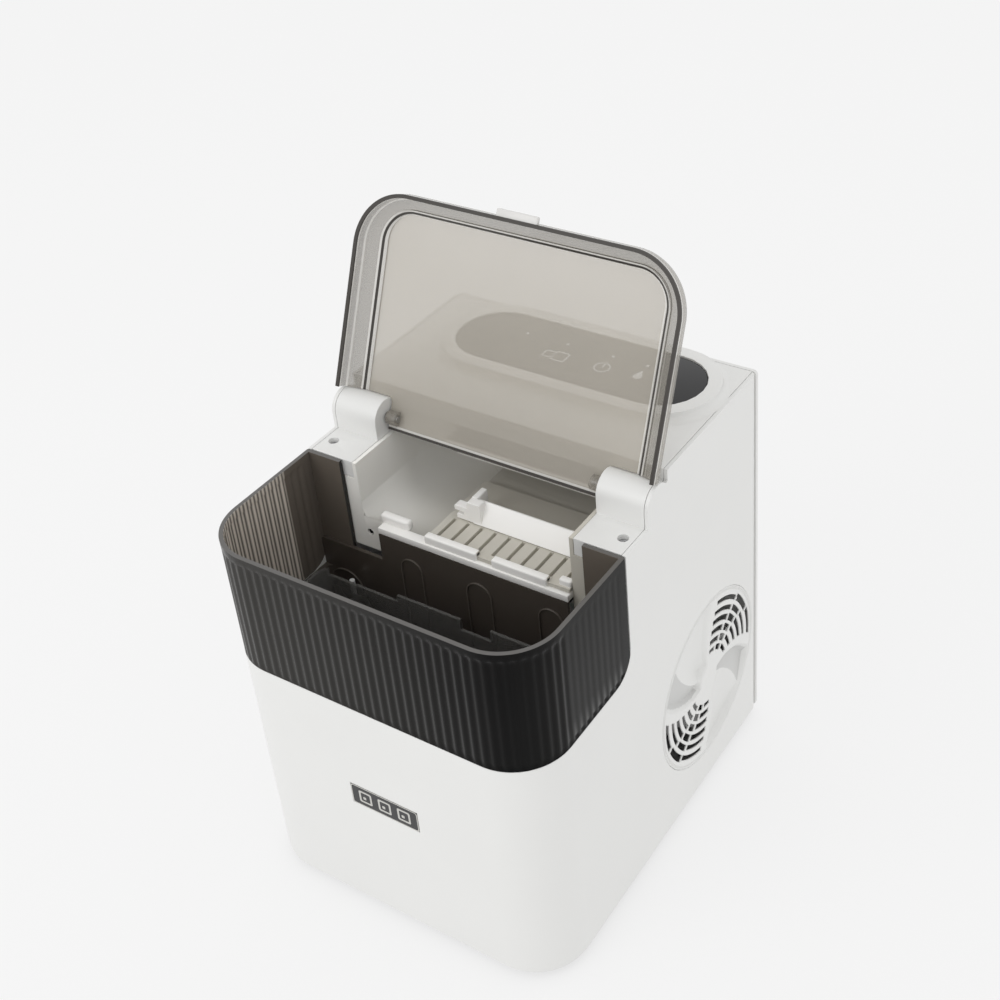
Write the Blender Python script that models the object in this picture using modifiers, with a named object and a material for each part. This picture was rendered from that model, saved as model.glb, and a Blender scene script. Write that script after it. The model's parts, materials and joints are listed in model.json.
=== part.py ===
"""Countertop ice maker with its lid open, as separate solids. Metres, +Z up, front towards -Y.

The origin is the centre of the footprint, on the surface that the feet stand on.
"""

import math

import bmesh
import bpy
from mathutils import Matrix, Vector

# Body
WIDTH = 0.230
DEPTH = 0.270
DECK_Z = 0.291
SHELL_Z = 0.006
RIM_Z = 0.264
WINDOW_Z = 0.1776
WALL = 0.0025
GAP = 0.0003
FRONT_RADIUS = 0.036
HALF = WIDTH / 2
FRONT_Y = -DEPTH / 2
REAR_Y = DEPTH / 2
INSIDE = HALF - WALL - GAP
BESIDE = 0.13  # further out than either side, for cutters
ABOVE = 0.31  # higher than the case, for cutters
WINDOW_CORNER = 0.018

# Lid hinge, arms and posts
HINGE_Y = 0.006
HINGE_Z = 0.2755
LID_OPEN = math.radians(113.3)
ARM_X = 0.0803
ARM_Y = -0.006
ARM_RADIUS = 0.012
POST_Y = -0.032
DECK_FRONT_Y = 0.0175
LINER_HALF = 0.080
WING_X = 0.088

# Control panel
PANEL_X = 0.010
PANEL_Y = 0.0915
PANEL_LENGTH = 0.178
PANEL_WIDTH = 0.058
ISLAND_Z = 0.297
LENS_Z = 0.2928
ISLAND_BORDER = 0.0095

# Bin, chamber and water system
TUB_Z = 0.100
TUB_WALL_Z = 0.219
TUB_BACK_Y = POST_Y - 0.0033
TAB_X = {-1: 0.0625, 1: 0.0775}  # inner edge of the left and right tab under the liner
TAB_Z = 0.199
PIPE_Y = -0.070
FLOOR_Z = 0.2215
GRID_Z = 0.227
TRAY_Y = 0.036
TRAY_Z = 0.262
TRAY_RADIUS = 0.018
TRAY_LEFT = -0.045
TRAY_RIGHT = 0.070
TRUNNION_X = {-1: -0.052, 1: 0.0817}
EVAPORATOR_Z = 0.2835
PUMP_X = -0.060
PUMP_Y = -0.085

# Fan and machinery
FAN_X = 0.0993
FAN_Y = 0.0628
FAN_Z = 0.0924
GRILLE_RADIUS = 0.063
COMPRESSOR_X = -0.030
COMPRESSOR_Y = 0.062
COMPRESSOR_Z = 0.013
COMPRESSOR_RADIUS = 0.048
DRAIN_X = 0.060
DRAIN_Z = 0.024
GLAND_X = -0.070
GLAND_Z = 0.035
REAR_HOLE = 0.0085

# Small parts
SENSOR_X = {-1: -0.074, 1: 0.0826}
SENSOR_Z = 0.212
BADGE_HALF = 0.025
BADGE_Z = (0.095, 0.111)
FLOAT_X = -0.085
FLOAT_Y = -0.0445

WHITE = ((0.86, 0.86, 0.83, 1), 0.35, 0)
SMOKE = ((0.09, 0.075, 0.065, 0.75), 0.15, 0)
LID_SMOKE = ((0.42, 0.39, 0.35, 0.55), 0.15, 0)
BROWN = ((0.40, 0.34, 0.27, 0.8), 0.25, 0)
PALE = ((0.72, 0.72, 0.70, 0.9), 0.4, 0)
BLACK = ((0.03, 0.03, 0.035, 1), 0.25, 0)
RUBBER = ((0.05, 0.05, 0.05, 1), 0.8, 0)
STEEL = ((0.55, 0.55, 0.56, 1), 0.35, 1)
PAINTED = ((0.02, 0.02, 0.02, 1), 0.45, 0.3)
COPPER = ((0.75, 0.38, 0.22, 1), 0.3, 1)
BOARD = ((0.05, 0.22, 0.10, 1), 0.5, 0)


def clear_scene():
    for obj in list(bpy.data.objects):
        bpy.data.objects.remove(obj)


def new_collection(name):
    made = bpy.data.collections.new(name)
    bpy.context.scene.collection.children.link(made)
    return made


def finished(obj, finish):
    """Gives a part its own material, and smooth shading with sharp edges."""
    colour, roughness, metallic = finish
    surface = bpy.data.materials.new(obj.name)
    surface.use_nodes = True
    shader = surface.node_tree.nodes["Principled BSDF"]
    shader.inputs["Base Color"].default_value = colour
    shader.inputs["Alpha"].default_value = colour[3]
    shader.inputs["Roughness"].default_value = roughness
    shader.inputs["Metallic"].default_value = metallic
    obj.data.materials.append(surface)
    if obj.type == "MESH":
        obj.data.shade_smooth()
        obj.data.set_sharp_from_angle(angle=math.radians(35))
    return obj


def rounded_path(corners, closed=True, steps=6):
    """Points of a path whose corners, each a place and a radius, are turned into arcs."""
    path = []
    count = len(corners)
    for i, (place, radius) in enumerate(corners):
        here = Vector(place)
        at_end = not closed and i in (0, count - 1)
        if radius == 0 or at_end:
            path.append(here)
            continue
        back = (Vector(corners[i - 1][0]) - here).normalized()
        ahead = (Vector(corners[(i + 1) % count][0]) - here).normalized()
        half = back.angle(ahead) / 2
        reach = radius / math.tan(half)
        centre = here + (back + ahead).normalized() * radius / math.sin(half)
        start = here + back * reach - centre
        end = here + ahead * reach - centre
        turn = math.pi - 2 * half
        for k in range(steps + 1):
            swing = turn * k / steps
            spoke = start * math.sin(turn - swing) + end * math.sin(swing)
            path.append(centre + spoke / math.sin(turn))
    return path


def rectangle(low, high, radius=0):
    corners = ((low[0], low[1]), (high[0], low[1]), (high[0], high[1]), (low[0], high[1]))
    return rounded_path([(corner, radius) for corner in corners])


def circle(centre, radius, steps=32):
    turns = [2 * math.pi * k / steps for k in range(steps)]
    return [Vector((centre[0] + radius * math.cos(a), centre[1] + radius * math.sin(a))) for a in turns]


def pill(length, width, steps=12):
    """Outline of the panel or of something round it: straight sides along X and round ends."""
    radius = width / 2
    outline = []
    for side in (1, -1):
        for k in range(steps + 1):
            a = math.pi * (k / steps - 0.5)
            x = side * (length / 2 - radius + radius * math.cos(a))
            outline.append(Vector((PANEL_X + x, PANEL_Y + side * radius * math.sin(a))))
    return outline


def footprint(half, front, rear, front_radius, rear_radius=0.004):
    """Plan outline of the body: large radii at the front, small ones at the rear."""
    return rounded_path(
        [
            ((half, rear), rear_radius),
            ((-half, rear), rear_radius),
            ((-half, front), front_radius),
            ((half, front), front_radius),
        ],
        steps=10,
    )


def link(obj):
    PARTS.objects.link(obj)
    return obj


PLATE_AXES = {
    "X": ((0, 0, 1, 0), (1, 0, 0, 0), (0, 1, 0, 0), (0, 0, 0, 1)),
    "Y": ((1, 0, 0, 0), (0, 0, -1, 0), (0, 1, 0, 0), (0, 0, 0, 1)),
    "Z": ((1, 0, 0, 0), (0, 1, 0, 0), (0, 0, 1, 0), (0, 0, 0, 1)),
}


def plate(name, outlines, low, high, axis="Z"):
    """Solid between low and high along an axis. The first outline is its edge, the others are holes.

    Outlines are (x, y) for Z, (y, z) for X and (x, z) for Y.
    """
    curve = bpy.data.curves.new(name, "CURVE")
    curve.dimensions = "2D"
    curve.fill_mode = "BOTH"
    curve.extrude = (high - low) / 2
    for outline in outlines:
        spline = curve.splines.new("POLY")
        spline.points.add(len(outline) - 1)
        for point, (u, v) in zip(spline.points, outline):
            point.co = (u, v, 0, 1)
        spline.use_cyclic_u = True
    guide = link(bpy.data.objects.new(name, curve))
    middle = Vector([(low + high) / 2 if axis == a else 0 for a in "XYZ"])
    guide.matrix_world = Matrix.Translation(middle) @ Matrix(PLATE_AXES[axis])
    depsgraph = bpy.context.evaluated_depsgraph_get()
    mesh = bpy.data.meshes.new_from_object(guide.evaluated_get(depsgraph))
    bm = bmesh.new()
    bm.from_mesh(mesh)
    bmesh.ops.remove_doubles(bm, verts=bm.verts, dist=1e-6)
    bmesh.ops.recalc_face_normals(bm, faces=bm.faces)
    bm.to_mesh(mesh)
    bm.free()
    place = guide.matrix_world.copy()
    bpy.data.objects.remove(guide)
    mesh.name = name
    obj = link(bpy.data.objects.new(name, mesh))
    obj.matrix_world = place
    return obj


def box(name, low, high):
    mesh = bpy.data.meshes.new(name)
    bm = bmesh.new()
    bmesh.ops.create_cube(bm, size=1)
    bmesh.ops.scale(bm, vec=Vector(high) - Vector(low), verts=bm.verts)
    bm.to_mesh(mesh)
    bm.free()
    obj = link(bpy.data.objects.new(name, mesh))
    obj.location = (Vector(low) + Vector(high)) / 2
    return obj


TURNED_AXES = {"X": (0, math.pi / 2, 0), "Y": (-math.pi / 2, 0, 0), "Z": (0, 0, 0)}


def turned(name, profile, place, axis="Z", ring=False, steps=20):
    """Turned solid from (radius, height) pairs down its outer side. A ring's profile is a closed loop."""
    mesh = bpy.data.meshes.new(name)
    bm = bmesh.new()
    verts = [bm.verts.new((radius, 0, height)) for radius, height in profile]
    pairs = list(zip(verts, verts[1:]))
    if ring:
        pairs.append((verts[-1], verts[0]))
    for pair in pairs:
        bm.edges.new(pair)
    bm.to_mesh(mesh)
    bm.free()
    obj = link(bpy.data.objects.new(name, mesh))
    screw = obj.modifiers.new("turn", "SCREW")
    screw.steps = steps
    screw.render_steps = steps
    screw.use_merge_vertices = True
    screw.merge_threshold = 0.00001
    obj.location = place
    obj.rotation_euler = TURNED_AXES[axis]
    return obj


def rod(name, place, radius, length, axis="Z", steps=20):
    """Plain cylinder that starts at a place and runs along an axis."""
    return turned(name, [(0, length), (radius, length), (radius, 0), (0, 0)], place, axis, steps=steps)


def tube(name, corners, radius):
    """Bent tube through corner places, each with its bend radius."""
    path = rounded_path(corners, closed=False, steps=5)
    curve = bpy.data.curves.new(name, "CURVE")
    curve.dimensions = "3D"
    curve.bevel_depth = radius
    curve.bevel_resolution = 2
    curve.use_fill_caps = True
    spline = curve.splines.new("POLY")
    spline.points.add(len(path) - 1)
    for point, place in zip(spline.points, path):
        point.co = (*place, 1)
    return link(bpy.data.objects.new(name, curve))


def combine(target, tool, operation):
    change = target.modifiers.new(tool.name, "BOOLEAN")
    change.operation = operation
    change.object = tool
    PARTS.objects.unlink(tool)
    CUTTERS.objects.link(tool)
    tool.hide_render = True
    tool.display_type = "WIRE"


def cut(target, *tools):
    for tool in tools:
        combine(target, tool, "DIFFERENCE")


def fuse(target, *tools):
    for tool in tools:
        combine(target, tool, "UNION")


def pivot(name, place, *children):
    """Empty on a joint's axis that carries finished pieces."""
    empty = link(bpy.data.objects.new(name, None))
    empty.location = place
    for child in children:
        child.parent = empty
        child.matrix_parent_inverse = Matrix.Translation(-Vector(place))
    return empty


def arm_profile(bottom):
    """Side outline of a hinge arm: an upright front, a round top about the hinge and a flat behind it."""
    end = math.radians(40)
    outline = [Vector((ARM_Y, bottom)), Vector((ARM_Y, HINGE_Z))]
    for k in range(1, 13):
        a = math.pi + (end - math.pi) * k / 12
        outline.append(Vector((HINGE_Y + ARM_RADIUS * math.cos(a), HINGE_Z + ARM_RADIUS * math.sin(a))))
    outline.append(Vector((DECK_FRONT_Y, outline[-1].y)))
    return outline


def outer_shell():
    outside = footprint(HALF, FRONT_Y, REAR_Y - WALL - GAP, FRONT_RADIUS)
    shell = plate("outer_shell", [outside], SHELL_Z, DECK_Z)
    inside = footprint(HALF - WALL, FRONT_Y + WALL, REAR_Y + WALL, FRONT_RADIUS - WALL)
    cut(shell, plate("shell_inside", [inside], 0, ABOVE))
    ahead = FRONT_Y - 0.01
    start = rounded_path(
        [
            ((ahead, ABOVE), 0),
            ((ahead, WINDOW_Z), 0),
            ((POST_Y, WINDOW_Z), WINDOW_CORNER),
            ((POST_Y, RIM_Z), 0),
        ],
        closed=False,
    )
    profile = start + arm_profile(RIM_Z) + [Vector((DECK_FRONT_Y, ABOVE))]
    cut(shell, plate("shell_opening", [profile], -BESIDE, BESIDE, "X"))
    hole_place = (HALF - 0.01, FAN_Y, FAN_Z)
    grille_hole = rod("grille_hole", hole_place, GRILLE_RADIUS + GAP, 0.02, "X", steps=48)
    low = (-BADGE_HALF - GAP, FRONT_Y - WALL, BADGE_Z[0] - GAP)
    high = (BADGE_HALF + GAP, FRONT_Y + 0.0011, BADGE_Z[1] + GAP)
    cut(shell, grille_hole, box("badge_recess", low, high))
    finished(shell, WHITE)


def rear_cover():
    edge = rectangle((-HALF, SHELL_Z), (HALF, DECK_Z), 0.003)
    holes = [
        circle((GLAND_X, GLAND_Z), REAR_HOLE, 20),
        circle((DRAIN_X, DRAIN_Z), REAR_HOLE, 20),
    ]
    slot_pitch = 0.011
    slot_half = 0.0025
    slot_height = 0.060
    for row_z in (0.075, 0.150):
        for k in range(-5, 6):
            x = k * slot_pitch
            holes.append(rectangle((x - slot_half, row_z), (x + slot_half, row_z + slot_height)))
    shank = 0.0017
    length = 0.012
    profile = [(0, 0), (shank, 0), (shank, -length), (0, -length)]
    for side, x in (("left", -0.100), ("right", 0.100)):
        for level, z in (("lower", 0.050), ("upper", 0.250)):
            holes.append(circle((x, z), shank + GAP, 12))
            screw = turned(f"rear_screw_{level}_{side}", profile, (x, REAR_Y - GAP, z), "Y", steps=12)
            finished(screw, STEEL)
    finished(plate("rear_cover", [edge] + holes, REAR_Y - WALL, REAR_Y, "Y"), WHITE)


def base_pan():
    outline = footprint(INSIDE, FRONT_Y + WALL + GAP, REAR_Y - WALL - GAP, FRONT_RADIUS - WALL - GAP)
    finished(plate("base_pan", [outline], SHELL_Z, SHELL_Z + WALL), PALE)
    places = {
        "front_left": (-0.085, -0.098),
        "front_right": (0.085, -0.098),
        "rear_left": (-0.095, 0.112),
        "rear_right": (0.095, 0.112),
    }
    top = SHELL_Z - GAP
    radius = 0.011
    chamfer = 0.0015
    profile = [(0, top), (radius, top), (radius, chamfer), (radius - chamfer, 0), (0, 0)]
    for corner, (x, y) in places.items():
        finished(turned(f"foot_{corner}", profile, (x, y, 0)), RUBBER)


def top_deck():
    """Deck with its arms beside the lid's hinge, its screwed platforms and the raised island."""
    rear = REAR_Y - WALL - GAP
    deck = plate("top_deck", [rectangle((-INSIDE, DECK_FRONT_Y), (INSIDE, rear))], DECK_Z - WALL, DECK_Z)
    skirt_high = (INSIDE, DECK_FRONT_Y + WALL, DECK_Z - 0.001)
    fuse(deck, box("deck_skirt", (-INSIDE, DECK_FRONT_Y, 0.276), skirt_high))
    overlap = 0.002
    arm_bottom = RIM_Z - WALL
    arm = arm_profile(arm_bottom)
    notch = arm[-1].y
    behind = DECK_FRONT_Y + overlap
    profile = arm + [Vector((behind, notch)), Vector((behind, arm_bottom))]
    platform_z = 0.252
    screw_x = 0.1055
    screw_y = -0.0185
    screw_z = 0.2583
    head = 0.0030
    head_height = 0.0025
    shank = 0.0015
    shank_end = -0.009
    screw = [(0, head_height), (head, head_height), (head, 0), (shank, 0), (shank, shank_end), (0, shank_end)]
    pin_bore = 0.0025
    inner_wall = 0.001
    pin_depth = 0.0095
    for side, name in ((-1, "left"), (1, "right")):
        inner, outer = sorted((side * ARM_X, side * INSIDE))
        fuse(deck, plate(f"arm_{name}", [profile], inner, outer, "X"))
        low = (inner, POST_Y + GAP, platform_z)
        fuse(deck, box(f"platform_{name}", low, (outer, ARM_Y + 2 * overlap, RIM_Z)))
        place = (side * screw_x, screw_y, screw_z)
        cut(deck, rod(f"head_pocket_{name}", (*place[:2], screw_z - GAP), head + 0.0004, 0.01, steps=16))
        cut(deck, rod(f"shank_hole_{name}", (*place[:2], screw_z - 0.0083), shank + GAP, 0.01, steps=12))
        pin_start = min(side * (ARM_X - inner_wall), side * (ARM_X + pin_depth))
        pin_place = (pin_start, HINGE_Y, HINGE_Z)
        cut(deck, rod(f"pin_hole_{name}", pin_place, pin_bore, inner_wall + pin_depth, "X", steps=16))
        finished(turned(f"deck_screw_{name}", screw, place, steps=16), STEEL)
    border = 2 * ISLAND_BORDER
    island = [pill(PANEL_LENGTH + border, PANEL_WIDTH + border)]
    fuse(deck, plate("island", island, DECK_Z - 0.001, ISLAND_Z))
    pocket = pill(PANEL_LENGTH + 2 * GAP, PANEL_WIDTH + 2 * GAP)
    cut(deck, plate("panel_pocket", [pocket], LENS_Z - GAP, ABOVE))
    ledge = 2 * 0.006
    cut(deck, plate("panel_ledge", [pill(PANEL_LENGTH - ledge, PANEL_WIDTH - ledge)], 0.28, 0.30))
    finished(deck, WHITE)


def control_panel():
    recess = 0.0008
    lens = plate("control_lens", [pill(PANEL_LENGTH, PANEL_WIDTH)], LENS_Z, ISLAND_Z - recess)
    finished(lens, BLACK)
    half_length = 0.070
    half_width = 0.018
    low = (PANEL_X - half_length, PANEL_Y - half_width, 0.2905)
    high = (PANEL_X + half_length, PANEL_Y + half_width, 0.2921)
    finished(box("display_board", low, high), BOARD)


def bin_window():
    thickness = 0.0028
    rear = POST_Y - GAP
    wing_y = rear - thickness
    inside = HALF - thickness
    inside_y = FRONT_Y + thickness
    inside_radius = FRONT_RADIUS - thickness
    outline = rounded_path(
        [
            ((HALF, rear), 0),
            ((HALF, FRONT_Y), FRONT_RADIUS),
            ((-HALF, FRONT_Y), FRONT_RADIUS),
            ((-HALF, rear), 0),
            ((-WING_X, rear), 0),
            ((-WING_X, wing_y), 0),
            ((-inside, wing_y), 0),
            ((-inside, inside_y), inside_radius),
            ((inside, inside_y), inside_radius),
            ((inside, wing_y), 0),
            ((WING_X, wing_y), 0),
            ((WING_X, rear), 0),
        ],
        steps=10,
    )
    window = plate("bin_window", [outline], WINDOW_Z + GAP, RIM_Z - GAP)
    bottom = WINDOW_Z + GAP
    margin = 0.01
    heel = rounded_path(
        [
            ((POST_Y + margin, bottom - margin), 0),
            ((POST_Y + margin, bottom + 3 * margin), 0),
            ((rear, bottom + 3 * margin), 0),
            ((rear, bottom), WINDOW_CORNER),
            ((POST_Y - 4 * margin, bottom), 0),
            ((POST_Y - 4 * margin, bottom - margin), 0),
        ],
        closed=False,
    )
    cut(window, plate("window_heel", [heel], -BESIDE, BESIDE, "X"))
    finished(window, SMOKE)


def reservoir_tub():
    """Tub with a low front rim and a tall back wall that is cut down beside the liner's tabs."""
    back = TUB_BACK_Y
    outside = footprint(INSIDE, FRONT_Y + WALL + GAP, back, FRONT_RADIUS - WALL - GAP)
    tub = plate("reservoir_tub", [outside], TUB_Z, TUB_WALL_Z)
    front = FRONT_Y + 2 * WALL + GAP
    inside = footprint(INSIDE - WALL, front, back - WALL, FRONT_RADIUS - 2 * WALL - GAP, 0.006)
    cut(tub, plate("tub_inside", [inside], TUB_Z + WALL, ABOVE))
    rim_z = WINDOW_Z - GAP
    above = rectangle((-0.2, rim_z), (back - WALL, ABOVE))
    cut(tub, plate("tub_rim", [above], -BESIDE, BESIDE, "X"))
    for side in (-1, 1):
        inner, outer = sorted((side * (TAB_X[side] - 0.0005), side * BESIDE))
        cut(tub, box(f"tub_notch_{side}", (inner, back - 0.01, TAB_Z - 0.0005), (outer, back + 0.01, ABOVE)))
    cut(tub, rod("drain_hole", (DRAIN_X, PIPE_Y, TUB_Z - 0.01), 0.004, 0.02, steps=12))
    cut(tub, rod("pump_hole", (PUMP_X, PUMP_Y, TUB_Z - 0.01), 0.006, 0.02, steps=12))
    finished(tub, SMOKE)


def chamber_liner():
    flange_x = WING_X - GAP
    flange_y = POST_Y + WALL
    inner = LINER_HALF - WALL
    rear = 0.078
    left_radius = 0.060
    right_radius = 0.012
    outline = rounded_path(
        [
            ((-flange_x, POST_Y), 0),
            ((-flange_x, flange_y), 0),
            ((-LINER_HALF, flange_y), 0),
            ((-LINER_HALF, rear), left_radius),
            ((LINER_HALF, rear), right_radius),
            ((LINER_HALF, flange_y), 0),
            ((flange_x, flange_y), 0),
            ((flange_x, POST_Y), 0),
            ((inner, POST_Y), 0),
            ((inner, rear - WALL), right_radius - WALL),
            ((-inner, rear - WALL), left_radius - WALL),
            ((-inner, POST_Y), 0),
        ],
        steps=10,
    )
    liner = plate("chamber_liner", [outline], FLOOR_Z, DECK_Z - WALL - GAP)
    floor = rounded_path(
        [
            ((-inner - 0.001, POST_Y), 0),
            ((inner + 0.001, POST_Y), 0),
            ((inner + 0.001, rear - 0.001), right_radius),
            ((-inner - 0.001, rear - 0.001), left_radius),
        ]
    )
    fuse(liner, plate("liner_floor", [floor], FLOOR_Z, FLOOR_Z + WALL))
    ahead = -0.05
    top_high = (BESIDE, DECK_FRONT_Y + WALL + GAP, ABOVE)
    cut(liner, box("liner_front_top", (-BESIDE, ahead, RIM_Z - GAP), top_high))
    for side in (-1, 1):
        low, high = sorted((side * (LINER_HALF + 0.0001), side * BESIDE))
        cut(liner, box(f"flange_top_{side}", (low, ahead, 0.252 - GAP), (high, 0, ABOVE)))
        tab_low, tab_high = sorted((side * TAB_X[side], side * flange_x))
        fuse(liner, box(f"post_tab_{side}", (tab_low, POST_Y, TAB_Z), (tab_high, flange_y, FLOOR_Z + 0.002)))
        cut(liner, rod(f"sensor_hole_{side}", (SENSOR_X[side], ahead, SENSOR_Z), 0.0025, 0.03, "Y", steps=12))
        notch_low, notch_high = sorted((side * 0.07, side * 0.09))
        low = (notch_low, TRAY_Y - 0.005, 0.278)
        cut(liner, box(f"tube_notch_{side}", low, (notch_high, TRAY_Y + 0.005, 0.3)))
        hole_start = side * LINER_HALF - 0.01
        cut(liner, rod(f"trunnion_hole_{side}", (hole_start, TRAY_Y, TRAY_Z), 0.0045, 0.02, "X", steps=16))
    finished(liner, WHITE)


def ice_grid():
    left = -0.027
    right = 0.0772
    front = POST_Y - 0.003
    pitch = 0.0102
    slot_half = 0.0012
    slots = []
    for k in range(10):
        x = left + 0.006 + pitch * k
        slots.append(rectangle((x - slot_half, front + 0.005), (x + slot_half, front + 0.024)))
    edge = rectangle((left, front), (right, 0.030))
    grid = plate("ice_grid", [edge] + slots, FLOOR_Z + WALL + GAP, GRID_Z)
    lip = 0.0025
    for name, low, high in (("left", -0.026, 0.012), ("right", 0.023, 0.062)):
        fuse(grid, box(f"grid_lip_{name}", (low, front, GRID_Z - 0.001), (high, front + 0.003, GRID_Z + lip)))
    finished(grid, WHITE)


def ice_shovel():
    foot = GRID_Z + 0.0006
    blade = [Vector(p) for p in ((-0.010, foot), (-0.0075, foot), (-0.0005, 0.240), (-0.003, 0.240))]
    shovel = plate("ice_shovel", [blade], -0.008, 0.0755, "X")
    arm = rectangle((-0.0105, foot), (0.008, 0.2425), 0.002)
    fuse(shovel, plate("shovel_arm", [arm], -0.022, -0.0078, "X"))
    return finished(shovel, WHITE)


def water_tray():
    """Half-round trough along X with closed ends and a trunnion on each end."""
    wall = 0.0017
    end_wall = 0.002
    steps = 16
    outline = []
    for radius, ends in ((TRAY_RADIUS, (math.pi, 2 * math.pi)), (TRAY_RADIUS - wall, (2 * math.pi, math.pi))):
        for k in range(steps + 1):
            a = ends[0] + (ends[1] - ends[0]) * k / steps
            outline.append(Vector((TRAY_Y + radius * math.cos(a), TRAY_Z + radius * math.sin(a))))
    tray = plate("water_tray", [outline], TRAY_LEFT, TRAY_RIGHT, "X")
    end = outline[: steps + 1]
    fuse(tray, plate("tray_end_left", [end], TRAY_LEFT, TRAY_LEFT + end_wall, "X"))
    fuse(tray, plate("tray_end_right", [end], TRAY_RIGHT - end_wall, TRAY_RIGHT, "X"))
    trunnion = 0.004
    overlap = end_wall / 2
    left_end = (TRUNNION_X[-1], TRAY_Y, TRAY_Z)
    left_length = TRAY_LEFT + overlap - TRUNNION_X[-1]
    fuse(tray, rod("trunnion_left", left_end, trunnion, left_length, "X", steps=16))
    right_start = (TRAY_RIGHT - overlap, TRAY_Y, TRAY_Z)
    right_length = TRUNNION_X[1] - TRAY_RIGHT + overlap
    fuse(tray, rod("trunnion_right", right_start, trunnion, right_length, "X", steps=16))
    return finished(tray, BROWN)


def tray_motor():
    start = LINER_HALF + 0.002
    finished(rod("tray_motor", (start, TRAY_Y, TRAY_Z), 0.0145, 0.020, "X"), STEEL)


def evaporator():
    """Flat manifold with a row of blunt cooling fingers hanging from it."""
    left = -0.040
    right = 0.064
    half_width = 0.005
    manifold = box("evaporator", (left, TRAY_Y - half_width, 0.281), (right, TRAY_Y + half_width, 0.286))
    radius = 0.0035
    length = 0.032
    finger = [(0, length), (radius, length), (radius, 0.003), (0.002, 0.0005), (0, 0)]
    count = 9
    margin = 0.008
    pitch = (right - left - 2 * margin) / (count - 1)
    for k in range(count):
        fuse(manifold, turned(f"finger_{k}", finger, (left + margin + pitch * k, TRAY_Y, 0.2505), steps=12))
    finished(manifold, STEEL)


def compressor():
    """Domed can with a weld seam round its middle, on three rubber mounts, with its relay behind it."""
    radius = COMPRESSOR_RADIUS
    seam = radius + 0.002
    profile = [
        (0, 0.118), (0.020, 0.116), (0.036, 0.108), (0.045, 0.096), (radius, 0.080), (radius, 0.062),
        (seam, 0.060), (seam, 0.056), (radius, 0.054), (radius, 0.016), (0.042, 0.004), (0.034, 0), (0, 0),
    ]
    finished(turned("compressor", profile, (COMPRESSOR_X, COMPRESSOR_Y, COMPRESSOR_Z), steps=28), PAINTED)
    floor = SHELL_Z + WALL + GAP
    top = COMPRESSOR_Z - GAP - floor
    mount = [(0, top), (0.008, top), (0.009, top / 2), (0.008, 0), (0, 0)]
    spread = 0.024
    for k in range(3):
        a = math.radians(90 + 120 * k)
        x = COMPRESSOR_X + spread * math.cos(a)
        y = COMPRESSOR_Y + spread * math.sin(a)
        finished(turned(f"compressor_mount_{k + 1}", mount, (x, y, floor), steps=16), RUBBER)
    finished(box("start_relay", (-0.050, 0.1125, 0.060), (-0.010, 0.126, 0.100)), BLACK)


def condenser():
    """Fin block with narrow gaps, upright behind the fan."""
    low = (0.010, 0.040)
    high = (0.116, 0.146)
    count = 14
    gap = 0.0034
    border = 0.006
    pitch = (high[0] - low[0] - border) / count
    slots = []
    for k in range(count):
        y = low[0] + border + pitch * k
        slots.append(rectangle((y, low[1] + border), (y + gap, high[1] - border)))
    finished(plate("condenser", [rectangle(low, high)] + slots, 0.030, 0.052, "X"), STEEL)


def refrigerant_circuit():
    """Copper tubes between the compressor, condenser, drier and evaporator."""
    bend = 0.008
    side_x = 0.098
    side_y = 0.100
    discharge_y = COMPRESSOR_Y + 0.020
    condenser_x = 0.041
    finished(tube("discharge_tube", [
        ((COMPRESSOR_X, discharge_y, 0.1297), 0),
        ((COMPRESSOR_X, discharge_y, 0.160), bend),
        ((condenser_x, discharge_y, 0.160), bend),
        ((condenser_x, discharge_y, 0.1463), 0),
    ], 0.0025), COPPER)
    suction_x = COMPRESSOR_X - 0.020
    suction_z = 0.180
    finished(tube("suction_tube", [
        ((0.0643, TRAY_Y, EVAPORATOR_Z), 0),
        ((side_x, TRAY_Y, EVAPORATOR_Z), bend),
        ((side_x, side_y, EVAPORATOR_Z), bend),
        ((side_x, side_y, suction_z), bend),
        ((suction_x, side_y, suction_z), bend),
        ((suction_x, COMPRESSOR_Y, suction_z), bend),
        ((suction_x, COMPRESSOR_Y, 0.1305), 0),
    ], 0.003), COPPER)
    finished(tube("liquid_tube", [
        ((-0.0403, TRAY_Y, EVAPORATOR_Z), 0),
        ((-side_x, TRAY_Y, EVAPORATOR_Z), bend),
        ((-side_x, side_y, EVAPORATOR_Z), bend),
        ((-side_x, side_y, 0.2053), 0),
    ], 0.002), COPPER)
    length = 0.070
    neck = 0.003
    body = 0.009
    drier = [(0, length), (neck, length), (body, length - 0.010), (body, 0.010), (neck, 0), (0, 0)]
    finished(turned("filter_drier", drier, (-side_x, side_y, 0.135), steps=16), COPPER)
    finished(box("hot_gas_valve", (0.045, 0.106, 0.196), (0.075, 0.130, 0.232)), STEEL)


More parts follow.
